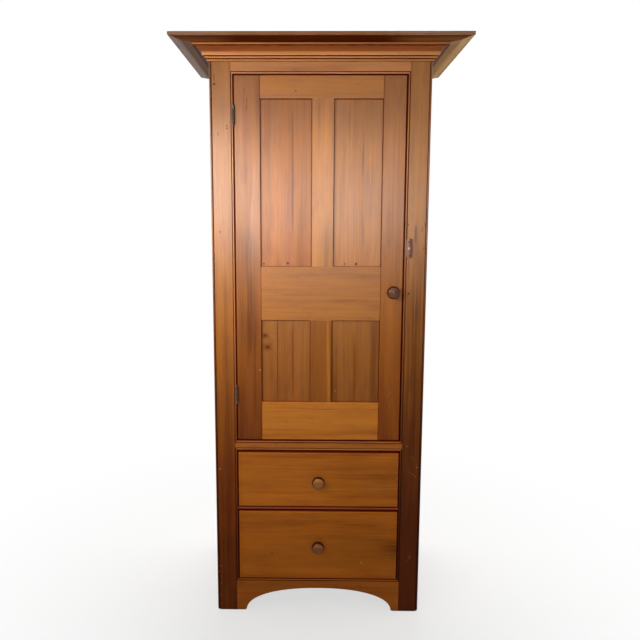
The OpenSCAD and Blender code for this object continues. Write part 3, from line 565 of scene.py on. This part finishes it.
# from the edge to the middle of the quirk and to the crest of the bead
quirk_in, crest_in = 0.008, 0.0036
dark_dent, pale_dent = (46, 20, 12), (196, 140, 88)
# dark tones for lines: dirt and painted shade in the gaps round the door and the drawers, dirt and
# painted shade in the quirks and joints, and painted shade on the stiles' outer beads
gap_dirt_and_shade, quirk_dirt_and_shade, outer_bead_shade = (0.42, 0.11, 0.05), (0.42, 0.24, 0.12), (0.62, 0.52, 0.46)
# painted highlight along the crest of each bead
bead_shine = (1.24, 1.40, 2.10)
finish = pine("left_face_stile", "ZXY", (191, 126, 62), (120, 56, 12), 31, ring=0.0036,
              pith=(-0.11, 0.05), lean=0.006, bare=behind, edge_dirt_and_shade=0.45, gloss=0.4,
              name="pine_left_stile",
              lines=(("X", opening_edge, 0.0024, gap_dirt_and_shade),
                     ("X", opening_edge - quirk_in, 0.0013, quirk_dirt_and_shade),
                     ("X", opening_edge - crest_in, 0.0014, bead_shine),
                     ("X", quirk_in - outer_edge, 0.0013, quirk_dirt_and_shade),
                     ("X", 0.0032 - outer_edge, 0.0046, outer_bead_shade),
                     # painted highlight on the arris beside the outer quirk
                     ("X", 0.0106 - outer_edge, 0.0011, (1.22, 1.26, 1.40))),
              stains_and_painted_light=((-0.338, 0.022, 0.15, 1.35, (0.72, 0.70, 0.76)),
                      (-0.325, 0.012, 0.30, 0.95, (0.76, 0.68, 0.68)),
                      (-0.358, 0.014, 0.45, 1.20, (1.14, 1.12, 0.80)),
                      (-0.340, 0.120, -0.20, 0.36, (0.60, 0.60, 0.46)),
                      (-0.340, 0.080, 1.34, 1.74, (0.93, 0.85, 0.66))),
              spots=((-0.3632, 1.9395, 0.0042, dark_dent), (-0.362, 1.949, 0.0022, pale_dent),
                     (-0.3218, 1.8005, 0.0032, (92, 46, 24)),
                     (-0.3219, 1.7920, 0.0030, (92, 46, 24)),
                     (-0.3513, 1.4376, 0.0034, (132, 72, 40)),
                     (-0.3442, 0.4517, 0.0030, dark_dent), (-0.3653, 0.5626, 0.0036, pale_dent),
                     (-0.3464, 0.9446, 0.0026, (150, 82, 50)),
                     (-0.3676, 0.1776, 0.0020, pale_dent), (-0.3740, 0.1539, 0.0022, pale_dent),
                     (-0.3672, 0.1078, 0.0018, pale_dent), (-0.3680, 0.0586, 0.0017, pale_dent)),
              scratches=(((-0.3634, 1.975), (-0.3637, 1.943), 0.0022, dark_dent),
                         ((-0.3527, 1.782), (-0.3530, 1.766), 0.0022, (120, 66, 34)),
                         ((-0.352, 0.50), (-0.345, 0.44), 0.0009, (130, 74, 42)),
                         ((-0.335, 0.22), (-0.343, 0.15), 0.0008, (120, 66, 38))))
ease("left_face_stile", "case", finish, 0.0007, case_arris_wear_and_shade)
finish = pine("right_face_stile", "ZXY", (196, 130, 63), (86, 36, 6), 36, ring=0.0036,
              pith=(0.12, 0.05), lean=0.006, bare=behind, edge_dirt_and_shade=0.45, gloss=0.4, crown_shade=0.55,
              name="pine_right_stile",
              lines=(("X", -opening_edge, 0.0024, gap_dirt_and_shade),
                     ("X", quirk_in - opening_edge, 0.0013, quirk_dirt_and_shade),
                     ("X", crest_in - opening_edge, 0.0014, bead_shine),
                     ("X", outer_edge - quirk_in, 0.0013, quirk_dirt_and_shade),
                     ("X", outer_edge - 0.0032, 0.0046, outer_bead_shade)),
              stains_and_painted_light=((0.345, 0.012, 0.3, 1.9, (0.88, 0.85, 0.88)),
                      (0.340, 0.060, 0.56, 1.28, (0.66, 0.55, 0.50)),
                      (0.345, 0.060, 1.04, 1.42, (0.84, 0.82, 0.78)),
                      (0.3398, 0.007, 1.36, 1.50, (0.60, 0.60, 0.72))),
              spots=((0.3186, 1.2208, 0.0042, (96, 30, 18)),
                     (0.3118, 1.4649, 0.0030, (120, 50, 30)),
                     (0.3315, 1.2697, 0.0026, (150, 84, 52)),
                     (0.3681, 1.3820, 0.0032, (120, 62, 34)),
                     (0.3268, 0.9325, 0.0028, (150, 84, 48)),
                     (0.3263, 0.6558, 0.0036, (170, 92, 46)),
                     (0.3641, 0.5745, 0.0026, pale_dent),
                     (0.3464, 0.2186, 0.0066, (128, 58, 24)),
                     (0.3335, 0.2044, 0.0030, (120, 58, 26))),
              scratches=(((0.3617, 1.462), (0.3590, 1.436), 0.0020, (112, 66, 42)),
                         ((0.3690, 1.476), (0.3716, 1.452), 0.0016, (112, 60, 38)),
                         ((0.3286, 0.5618), (0.3698, 0.5296), 0.0013, (158, 98, 60)),
                         ((0.3380, 0.620), (0.3560, 0.595), 0.0010, (140, 84, 50)),
                         ((0.3335, 0.197), (0.3554, 0.242), 0.0016, (140, 70, 34)),
                         ((0.3390, 1.388), (0.3392, 1.472), 0.0050, (122, 104, 92))))
ease("right_face_stile", "case", finish, 0.0007, case_arris_wear_and_shade)

# Face frame: top rail, mid rail, drawer divider and apron
# Rails let in through the stiles' beads and mitred at every corner. The apron is sawn to a low
# arch, and the thin divider between the drawers shows a rounded nose.
bead_w = 0.009
shoulders = (("X", opening_edge - bead_w), ("X", bead_w - opening_edge))
# painted highlight along the crest of each rail's bead
rail_shine = (1.42, 1.66, 2.60)
for rail, tone, beads, seed, rail_spots, arris in (
        ("top_rail", (220, 149, 88), (0,), 41, ((1.985, -0.09, 0.002, dark_dent),), 0.0007),
        ("mid_rail", (169, 101, 44), (0, 1), 44, ((0.655, -0.17, 0.0022, pale_dent),), 0.0007),
        ("drawer_divider", (150, 84, 44), (), 45, (), 0.0007),
        ("apron", (164, 92, 30), (1,), 47, ((0.10, 0.16, 0.002, dark_dent),), 0.0012)):
    edges = [corner.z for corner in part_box(rail)]
    open_ends = beads or (0, 1)
    inward = (1, -1)
    marks = [("Z", edges[end] + inward[end] * quirk_in, 0.0013, quirk_dirt_and_shade) for end in beads]
    marks += [("Z", edges[end] + inward[end] * crest_in, 0.0016, rail_shine) for end in beads]
    marks += [("Z", edges[end], 0.0022, gap_dirt_and_shade) for end in open_ends]
    marks += [(letter, at, 0.0012, quirk_dirt_and_shade) for letter, at in shoulders]
    finish = pine(rail, "XZY", tone, tone, seed, ring=0.0038, pith=(0.07, 0.03), lean=0.008,
                  bare=behind, spots=rail_spots, lines=marks, edge_dirt_and_shade=0.45, gloss=0.4)
    rubbed = worn("rubbed_" + rail, (206, 140, 84), (160, 98, 54),
                  [("Z", edges[end]) for end in open_ends])
    ease(rail, "case", finish, arris, rubbed, shoulders)

# Runners, kickers, guides, stops, glue blocks and the strip that stops the door
# Rough offcuts of pine, nailed and glued inside the case where no one looks. The runners are
# burnished dark where the drawer sides have worn them.
raw_tones, stained_tones = ((184, 142, 94), (158, 116, 72)), ((84, 48, 26), (60, 32, 18))
for strip, lie, seed, tones in (
        ("upper_drawer_runners", "YXZ", 51, raw_tones),
        ("lower_drawer_runners", "YXZ", 52, raw_tones), ("drawer_kickers", "YXZ", 53, raw_tones),
        ("drawer_guides", "YXZ", 54, raw_tones), ("drawer_stops", "XYZ", 55, raw_tones),
        ("glue_blocks", "ZXY", 56, raw_tones), ("door_stop", "ZXY", 57, stained_tones)):
    finish = pine(strip, lie, *tones, seed, ring=0.0045, pith=(0.02, 0.05), edge_dirt_and_shade=0.0,
                  gloss=0.7, varnish=0.0)
    ease(strip, "case", finish, 0.0008)

# Bed mould
# Planed in one length and mitred round the case under the crown: two stepped beads, a cove and a
# square fillet. Painted shade lies in the quirks and the upper cove, painted highlights run along
# the beads, the lip, the lower cove and the fillet, and the high edges are rubbed pale.
rubbed_mould = worn("rubbed_mould_arris", (222, 158, 98), (200, 140, 90))
mould_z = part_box("bed_mould_front")[0].z
# painted shade in the quirks and the upper part of the cove, painted highlights on the beads, the
# lip, the lower cove and the fillet
mould_shade_and_highlights = [("Z", mould_z + up, reach, tone) for up, reach, tone in (
    (0.0000, 0.0012, (0.34, 0.20, 0.12)), (0.0078, 0.0014, (0.36, 0.20, 0.10)),
    (0.0162, 0.0014, (0.36, 0.20, 0.10)), (0.0042, 0.0024, (1.52, 1.98, 2.80)),
    (0.0122, 0.0024, (1.52, 1.98, 2.80)), (0.0178, 0.0014, (1.40, 1.70, 2.10)),
    (0.0225, 0.0060, (1.50, 1.84, 2.40)), (0.0362, 0.0100, (0.70, 0.50, 0.18)),
    (0.0430, 0.0014, (0.34, 0.18, 0.08)), (0.0468, 0.0020, (1.45, 1.70, 2.10)),
    (0.0505, 0.0012, (0.35, 0.22, 0.15)))]
# the side moulds are painted darker than the front one, the left one most, as painted shade
for mould, lie, seed, tone, varnish, sheen in (
        ("bed_mould_front", "XZY", 61, (198, 122, 62), 0.3, 0.05),
        ("bed_mould_left", "YZX", 62, (120, 78, 48), 0.0, 0.03),
        ("bed_mould_right", "YZX", 63, (158, 100, 52), 0.0, 0.03)):
    finish = pine(mould, lie, tone, tone, seed, ring=0.003, pith=(0.05, 0.03), lean=0.004,
                  strong=0.15, lines=mould_shade_and_highlights, edge_dirt_and_shade=0.0, gloss=0.5, varnish=varnish,
                  through=True, sheen=sheen)
    ease(mould, "case", finish, 0.0006, rubbed_mould)

# Crown
# Three wide boards, mitred at the front corners and bevelled underneath, nailed down on the top
# of the case. Dull below, with painted shade and painted sheen on the undersides, and dusty bare
# wood above, where only a ladder shows it.
rubbed_crown = worn("rubbed_crown_arris", (160, 112, 76), (130, 84, 56))
crown_low, crown_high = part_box("crown_front")
crown_top = crown_high.z
# painted sheen on the underside of the front board near both corners
front_bands_with_painted_light = ((-0.275, 0.05, -0.62, -0.26, (2.3, 5.0, 18.0)),
                (-0.275, 0.05, 0.20, 0.62, (3.8, 9.0, 24.0)))
# a darker line along the top edge
top_edge_dark_line = (("Z", crown_top, 0.0022, (0.5, 0.42, 0.4)),)
# painted highlight along the outer band of the side boards' undersides
bevel_shine = (("X", crown_low.x + 0.016, 0.014, (1.15, 1.24, 1.36)),
               ("X", crown_high.x - 0.018, 0.016, (1.22, 1.34, 1.42)))
# painted shade darkens each underside away from its outer edge; the left board's grey tone is a
# painted sheen and the right board's pale tone painted light
for crown, lie, seed, tone, painted_shade, lines, crown_sheen in (
        ("crown_front", "XYZ", 71, (190, 138, 98),
         ("Y", crown_low.y + 0.003, 1, 0.004, (0.20, 0.072, 0.014)), top_edge_dark_line, front_bands_with_painted_light),
        ("crown_left", "YXZ", 72, (176, 159, 149),
         ("X", crown_low.x + 0.032, 1, 0.008, (0.56, 0.46, 0.42)), top_edge_dark_line + bevel_shine, ()),
        ("crown_right", "YXZ", 73, (230, 188, 134),
         ("X", crown_high.x - 0.034, -1, 0.008, (0.82, 0.80, 0.78)), top_edge_dark_line + bevel_shine, ())):
    finish = pine(crown, lie, tone, tone, seed, ring=0.004, pith=(0.03, 0.07), lean=0.01,
                  edge_dirt_and_shade=0.35, gloss=0.66, lines=lines, painted_shade=painted_shade, stains_and_painted_light=crown_sheen,
                  bare=("Z", crown_top - skin, 1), varnish=0.0, through=True, sheen=0.03)
    ease(crown, "case", finish, 0.0012, rubbed_crown)

# Door: two stiles, three rails and two muntins
# A mortised frame with a second muntin under the lock rail, set a little off the first. It is
# varnished in front and on its edges, and bare behind.
door_low, door_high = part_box("door_hinge_stile")[0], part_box("door_latch_stile")[1]
hinge_edge, latch_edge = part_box("door_hinge_stile")[1].x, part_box("door_latch_stile")[0].x
inside = ("Y", door_high.y - skin, 1)
door_gaps = (("X", door_low.x), ("X", door_high.x), ("Z", door_low.z), ("Z", door_high.z))
rubbed_door = worn("rubbed_door_arris", (216, 154, 96), (150, 92, 46), door_gaps)
# painted shade along the edges where the panels sink into the frame
panel_edge_shade = (0.42, 0.22, 0.10)
for board, lie, top, low, seed, pith, board_stains, board_spots, board_scratches in (
        ("door_hinge_stile", "ZXY", (180, 112, 50), (105, 46, 15), 81, (-0.09, 0.05),
         ((-0.25, 0.05, 0.94, 1.50, (0.60, 0.58, 0.60)),
          (-0.232, 0.01, 0.7, 1.15, (0.8, 0.74, 0.76)),
          (-0.28, 0.02, 1.30, 1.48, (0.84, 0.86, 1.06)),
          (-0.25, 0.06, 0.98, 1.24, (0.84, 0.85, 0.88))),
         ((-0.2137, 0.9398, 0.0040, pale_dent), (-0.262, 1.89, 0.0014, dark_dent)),
         (((-0.2531, 1.905), (-0.2535, 1.845), 0.0018, (104, 58, 30)),
          ((-0.263, 1.93), (-0.2625, 1.90), 0.0010, (104, 58, 30)))),
        ("door_latch_stile", "ZXY", (187, 118, 54), (127, 61, 14), 82, (0.10, 0.05),
         ((0.275, 0.012, 0.75, 1.85, (0.86, 0.84, 0.88)),),
         ((0.262, 0.86, 0.0016, pale_dent), (0.247, 1.50, 0.0015, dark_dent)),
         (((0.232, 1.738), (0.283, 1.716), 0.0014, (206, 142, 92)),
          ((0.236, 1.722), (0.279, 1.702), 0.0014, (206, 142, 92)),
          ((0.246, 0.83), (0.262, 0.865), 0.0010, (176, 116, 70)),
          ((0.256, 0.79), (0.261, 0.835), 0.0010, (176, 116, 70)),
          ((0.270, 0.80), (0.268, 0.85), 0.0008, (168, 108, 64)))),
        ("door_top_rail", "XZY", (213, 137, 60), (213, 137, 60), 83, (0.05, 0.06), (),
         ((1.9165, -0.084, 0.0034, (120, 62, 34)),), ()),
        ("door_lock_rail", "XZY", (176, 113, 55), (176, 113, 55), 84, (-0.04, 0.09), (),
         ((1.30, -0.19, 0.0016, dark_dent), (1.30, -0.094, 0.0016, dark_dent)), ()),
        ("door_bottom_rail", "XZY", (191, 118, 45), (191, 118, 45), 85, (0.06, 0.07), (),
         ((0.79, 0.05, 0.002, pale_dent),), ()),
        ("door_upper_muntin", "ZXY", (207, 135, 65), (178, 114, 55), 86, (0.06, 0.06),
         ((0.03, 0.06, 1.20, 1.52, (0.78, 0.79, 0.90)),), (), ()),
        ("door_lower_muntin", "ZXY", (163, 102, 46), (130, 72, 23), 87, (-0.07, 0.05),
         (), (), (((0.0395, 0.72), (0.0290, 1.22), 0.0075, (190, 122, 44)),))):
    lines = [(letter, at, 0.0020, gap_dirt_and_shade) for letter, at in door_gaps]
    # painted highlight on the outer arris of the hinge stile
    lines.append(("X", door_low.x + 0.0040, 0.0013, (1.20, 1.16, 1.25)))
    # painted highlight along the top arris of the bottom rail
    if board == "door_bottom_rail":
        lines.append(("Z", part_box(board)[1].z, 0.0032, (1.30, 1.22, 1.45)))
    joints = ()
    if "stile" in board:
        lines.append(("X", hinge_edge if "hinge" in board else latch_edge, 0.0013, panel_edge_shade))
    if "rail" in board:
        joints = (("X", hinge_edge), ("X", latch_edge))
        lines += [("X", hinge_edge, 0.0009, panel_edge_shade), ("X", latch_edge, 0.0009, panel_edge_shade)]
    if "muntin" in board:
        lines += [("X", corner.x, 0.0013, panel_edge_shade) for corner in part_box(board)]
    finish = pine(board, lie, top, low, seed, ring=0.0038, pith=pith, lean=0.008, bare=inside,
                  stains_and_painted_light=board_stains, spots=board_spots, scratches=board_scratches,
                  lines=lines, edge_dirt_and_shade=0.22, gloss=0.4)
    ease(board, "door", finish, 0.0011, rubbed_door, joints)

# Door: four flat panels
# Thin wide boards, loose in their grooves, one pair jointed down its length. Smoke stains run in
# long grey streaks with the grain, and two small knots sit high in the lower left one.
groove_d = 0.009
for board, top, low, seed, pith, board_stains, board_knots, board_spots in (
        ("upper_left_panel", (186, 114, 50), (168, 98, 42), 91, (0.05, 0.08),
         ((-0.0968, 0.006, 1.40, 1.88, (0.48, 0.44, 0.54)),
          (-0.105, 0.03, 1.30, 1.90, (0.9, 0.86, 0.92)),
          (-0.145, 0.035, 1.30, 1.74, (1.18, 1.12, 0.76)),
          (-0.19, 0.03, 1.62, 1.95, (0.84, 0.82, 0.9))),
         (),
         ((-0.197, 1.325, 0.004, (110, 60, 42)), (-0.1125, 1.327, 0.005, (96, 52, 34)))),
        ("upper_right_panel", (191, 124, 60), (166, 99, 44), 92, (-0.06, 0.08),
         ((0.1515, 0.005, 1.58, 1.80, (0.50, 0.47, 0.58)),
          (0.176, 0.024, 1.42, 1.74, (0.80, 0.80, 1.0)),
          (0.1555, 0.005, 1.35, 1.52, (0.48, 0.43, 0.54)),
          (0.098, 0.010, 1.72, 1.93, (0.7, 0.64, 0.66)),
          (0.135, 0.014, 1.35, 1.85, (1.10, 1.05, 0.80))), (),
         ((0.13, 1.325, 0.006, (118, 72, 52)), (0.09, 1.325, 0.004, (118, 72, 52)))),
        ("lower_left_panel", (175, 118, 64), (137, 74, 23), 93, (0.05, 0.07),
         ((-0.1497, 0.0030, 0.76, 1.20, (0.36, 0.28, 0.24)),
          (-0.0956, 0.006, 0.78, 1.18, (0.60, 0.50, 0.48))),
         ((-0.1947, 1.0652, 0.0078), (-0.186, 1.0231, 0.0102)), ()),
        ("lower_right_panel", (174, 118, 64), (126, 67, 20), 94, (-0.05, 0.07),
         ((0.130, 0.010, 0.76, 1.10, (0.74, 0.66, 0.68)),
          (0.205, 0.02, 0.76, 1.16, (0.84, 0.8, 0.8))), (),
         ((0.060, 0.862, 0.005, (168, 100, 50)),))):
    panel_low, panel_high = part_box(board)
    window = [(letter, place, 0.0020, panel_edge_shade) for letter, place in (
        ("X", panel_low.x + groove_d), ("X", panel_high.x - groove_d),
        ("Z", panel_high.z - groove_d))]
    # painted shade at the foot of each panel, and a wider painted shadow under the rail above it
    window.append(("Z", panel_low.z + groove_d, 0.0015, (0.54, 0.40, 0.28)))
    window.append(("Z", panel_high.z - groove_d, 0.0034, (0.55, 0.34, 0.22)))
    finish = pine(board, "ZXY", top, low, seed, ring=0.0048, pith=pith, lean=0.01,
                  stains_and_painted_light=board_stains, knots=board_knots, spots=board_spots, lines=window,
                  bare=("Y", panel_high.y - skin, 1), edge_dirt_and_shade=0.3, gloss=0.4)
    ease(board, "door", finish, 0.0005)


# Hinges
# Two iron butt hinges let in flush, each with five knuckles on a loose pin with turned tips, and
# held with countersunk screws. The iron has browned, with grey glints where the door rubs it.
def old_iron(name, dark, glint, slots=(), barrel=None):
    """Browned iron: rust bloom in the hollows, rubbed bright metal here and there. slots are the
    places in depth of slots sawn upright in screw heads, and barrel is the place across of the
    middle of the knuckles, whose sides are darkened with painted shade."""
    material, surface, place = new_finish(name)
    bloom = place.noise(220.0, 4.0)
    bright = place.noise(70.0, 2.0).smooth(0.52, 0.66)
    colour = bright.between(paint(*dark), paint(*glint))
    colour = colour.blend(paint(104, 62, 38), bloom.smooth(0.52, 0.7) * 0.7)
    depth = bloom
    for line in slots:
        cut = abs(place.axis("Y") - line).fade(0.0003, 0.0005)
        colour = colour.blend(paint(20, 15, 12), cut)
        depth = depth - cut * 2.0
    if barrel is not None:
        # painted shade on the sides of the knuckles, where they turn from the light
        aside = abs(place.axis("X") - barrel)
        colour = colour.glaze((0.16, 0.12, 0.10), aside.smooth(0.0012, 0.0030))
    fill_sockets(surface, {
        "Base Color": colour, "Roughness": bloom * 0.4 + 0.22, "Metallic": bright * 0.5 + 0.4,
        "Normal": depth.relief(0.5, 0.0003)})
    return material


leaf_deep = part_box("hinge_case_leaves")[1].y - front_y
pin_x = sum(corner.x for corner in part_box("hinge_pins")) / 2
leaf_iron = old_iron("hinge_iron", (68, 58, 50), (150, 138, 126), barrel=pin_x)
for leaf, body in (("hinge_case_leaves", "case"), ("hinge_door_leaves", "door"),
                   ("hinge_pins", "case")):
    ease(leaf, body, leaf_iron, 0.0003)
screw_iron = old_iron("hinge_screw_iron", (70, 58, 50), (138, 126, 116),
                      (front_y + 0.38 * leaf_deep, front_y + 0.66 * leaf_deep))
for screws in ("case_hinge_screws", "door_hinge_screws"):
    nodes[screws].data.materials.clear()
    nodes[screws].data.materials.append(screw_iron)


# Knobs
# Turned from hardwood with a spigot that is glued through the wood. Painted shade darkens the
# neck and the rim of each face, and a painted highlight lies on the upper part of the face.
def turned_wood(name, node, dark, pale):
    """Hardwood turned across its grain, with painted shade round the neck and the rim of the face
    and a painted highlight on its upper part.
    """
    low_corner, high_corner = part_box(node)
    middle = (low_corner + high_corner) / 2
    radius = (high_corner.x - low_corner.x) / 2
    material, surface, place = new_finish(name)
    local = place - tuple(middle)
    grain = (local * (300.0, 60.0, 26.0)).noise(1.0, 3.0)
    cloud = local.noise(60.0, 2.0)
    round_axis = (local * (1.0, 0.0, 1.0)).length()
    # the face is paler; painted shade darkens the neck behind it and the rim of the face
    face_clear_of_shade = (front_y - place.axis("Y")).smooth(0.012, 0.034)
    face_clear_of_shade = face_clear_of_shade * round_axis.fade(radius * 0.76, radius * 0.95)
    colour = face_clear_of_shade.between(paint(*dark), paint(*pale))
    colour = colour.glaze((0.66, 0.56, 0.50), grain.smooth(0.45, 0.65) * 0.6)
    colour = colour.glaze((0.74, 0.66, 0.60), cloud.smooth(0.5, 0.68) * 0.6)
    # painted highlight on the upper part of the face
    crest = local.axis("Z").smooth(radius * 0.05, radius * 0.62) * face_clear_of_shade
    colour = colour.glaze((1.9, 2.25, 4.0), crest)
    tool_marks = (round_axis * 5200.0).sum("SINE")
    fill_sockets(surface, {
        "Base Color": colour, "Roughness": cloud * 0.2 + 0.5, "Specular IOR Level": 0.12,
        "Coat Weight": 0.35, "Coat Roughness": 0.19,
        "Normal": (tool_marks * 0.12 + grain).relief(0.25, 0.0003)})
    return material


for knob, body, dark, pale in (
        ("door_knob", "door", (46, 24, 12), (101, 59, 29)),
        ("upper_drawer_knob", "upper_drawer", (62, 30, 12), (146, 89, 27)),
        ("lower_drawer_knob", "lower_drawer", (56, 28, 10), (125, 66, 13))):
    ease(knob, body, turned_wood("turned_" + knob, knob, dark, pale), 0.0004)

# Turn button
# A short hardwood bar with round ends and a crowned face, turned on a round-headed screw. An old
# screw hole and the ring of a lost washer mark its two ends.
button_mid = (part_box("turn_button")[0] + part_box("turn_button")[1]) / 2
finish = pine("turn_button", "ZXY", (138, 84, 60), (138, 84, 60), 97, ring=0.0024,
              pith=(0.004, 0.03), edge_dirt_and_shade=0.0, gloss=0.36, strong=1.2, name="button_wood",
              spots=((button_mid.x, button_mid.z - 0.026, 0.0028, (46, 24, 18)),
                     (button_mid.x, button_mid.z + 0.021, 0.0046, (74, 44, 34)),
                     (button_mid.x, button_mid.z + 0.021, 0.0030, (158, 106, 82))))
ease("turn_button", "turn_button", finish, 0.0012,
     worn("rubbed_button", (160, 110, 86), (130, 82, 58)))
shank = ease("turn_button_screw", "case",
             old_iron("button_screw_iron", (150, 142, 134), (226, 220, 212)), 0.0002)
slot_wide, slot_deep, slot_long = 0.0012, 0.0022, 0.02
slot_turn = 0.5
slot_cut = bmesh.new()
bmesh.ops.create_cube(
    slot_cut, size=1.0,
    matrix=Matrix.Translation((button_mid.x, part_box("turn_button_screw")[0].y, button_mid.z))
    @ Matrix.Rotation(slot_turn, 4, "Y") @ Matrix.Diagonal((slot_wide, slot_deep, slot_long, 1.0)))
slot_mesh = bpy.data.meshes.new("screw_slot_cutter")
slot_cut.to_mesh(slot_mesh)
slot_cut.free()
cutter = bpy.data.objects.new("screw_slot_cutter", slot_mesh)
scene.collection.objects.link(cutter)
saw = shank.modifiers.new("slot", "BOOLEAN")
saw.operation, saw.object, saw.solver = "DIFFERENCE", cutter, "EXACT"
work_in(shank)
bpy.data.objects.remove(cutter)

# Drawers
# Pine fronts with rounded edges, lapped dovetails to thin sides, and a back dovetailed right
# through. The bottom slides up its groove from behind and is nailed to the back.
for drawer, tone, seed, front_spots, front_bands_with_painted_light, front_scratches in (
        ("upper_drawer", (180, 104, 33), 101,
         ((0.5315, 0.2915, 0.0034, (190, 126, 62)),
          (0.562, -0.155, 0.0014, dark_dent), (0.5513, 0.1659, 0.0016, dark_dent)),
         ((0.566, 0.008, -0.05, 0.24, (0.80, 0.74, 0.70)),
          (0.47, 0.007, -0.29, 0.0, (0.84, 0.8, 0.76)),
          # painted shade over the right half of the front
          (0.525, 0.16, 0.0, 0.6, (0.82, 0.81, 0.78))), ()),
        ("lower_drawer", (173, 98, 27), 102,
         ((0.2317, -0.1734, 0.0046, (104, 52, 22)), (0.1946, 0.1637, 0.0032, (206, 150, 90)),
          (0.1880, 0.1720, 0.0018, (190, 130, 74)), (0.36, -0.05, 0.0014, dark_dent)),
         ((0.256, 0.050, 0.19, 0.60, (0.44, 0.38, 0.36)),
          (0.345, 0.012, 0.02, 0.26, (0.78, 0.72, 0.66)),
          (0.17, 0.010, -0.26, -0.06, (0.80, 0.75, 0.70)),
          # painted shade over the right half of the front
          (0.25, 0.20, 0.0, 0.6, (0.80, 0.80, 0.78))),
         (((0.2040, 0.1600), (0.1900, 0.1700), 0.0010, (196, 138, 80)),))):
    front = drawer + "_front"
    front_low, front_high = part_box(front)
    rims = (("X", front_low.x), ("X", front_high.x), ("Z", front_low.z))
    marks = [(letter, at, 0.0022, gap_dirt_and_shade) for letter, at in rims]
    marks += [("Z", front_high.z, 0.0034, gap_dirt_and_shade),
              # painted highlights along the top arris and the two side arrises of the front
              ("Z", front_high.z - 0.0062, 0.0016, (1.36, 1.44, 1.90)),
              ("X", front_high.x - 0.0048, 0.0012, (1.22, 1.26, 1.50)),
              ("X", front_low.x + 0.0048, 0.0012, (1.22, 1.26, 1.50))]
    edge_tone = worn("rubbed_" + front, (214, 140, 66), (196, 118, 46), rims)
    finish = pine(front, "XZY", tone, tone, seed, pith=(0.06, 0.06), spots=front_spots,
                  stains_and_painted_light=front_bands_with_painted_light, scratches=front_scratches, edge_dirt_and_shade=0.35, gloss=0.4,
                  lines=marks, bare=("Y", front_high.y - skin, 1))
    ease(front, drawer, finish, 0.0008, edge_tone)
    for piece, lie, plus in (("_left_side", "YZX", 1), ("_right_side", "YZX", 2),
                             ("_back", "XZY", 3), ("_bottom", "XYZ", 4)):
        finish = pine(drawer + piece, lie, (200, 158, 108), (178, 134, 86), seed * 7 + plus,
                      ring=0.0045, pith=(0.04, 0.06), gloss=0.66, varnish=0.0)
        ease(drawer + piece, drawer, finish, 0.0008)
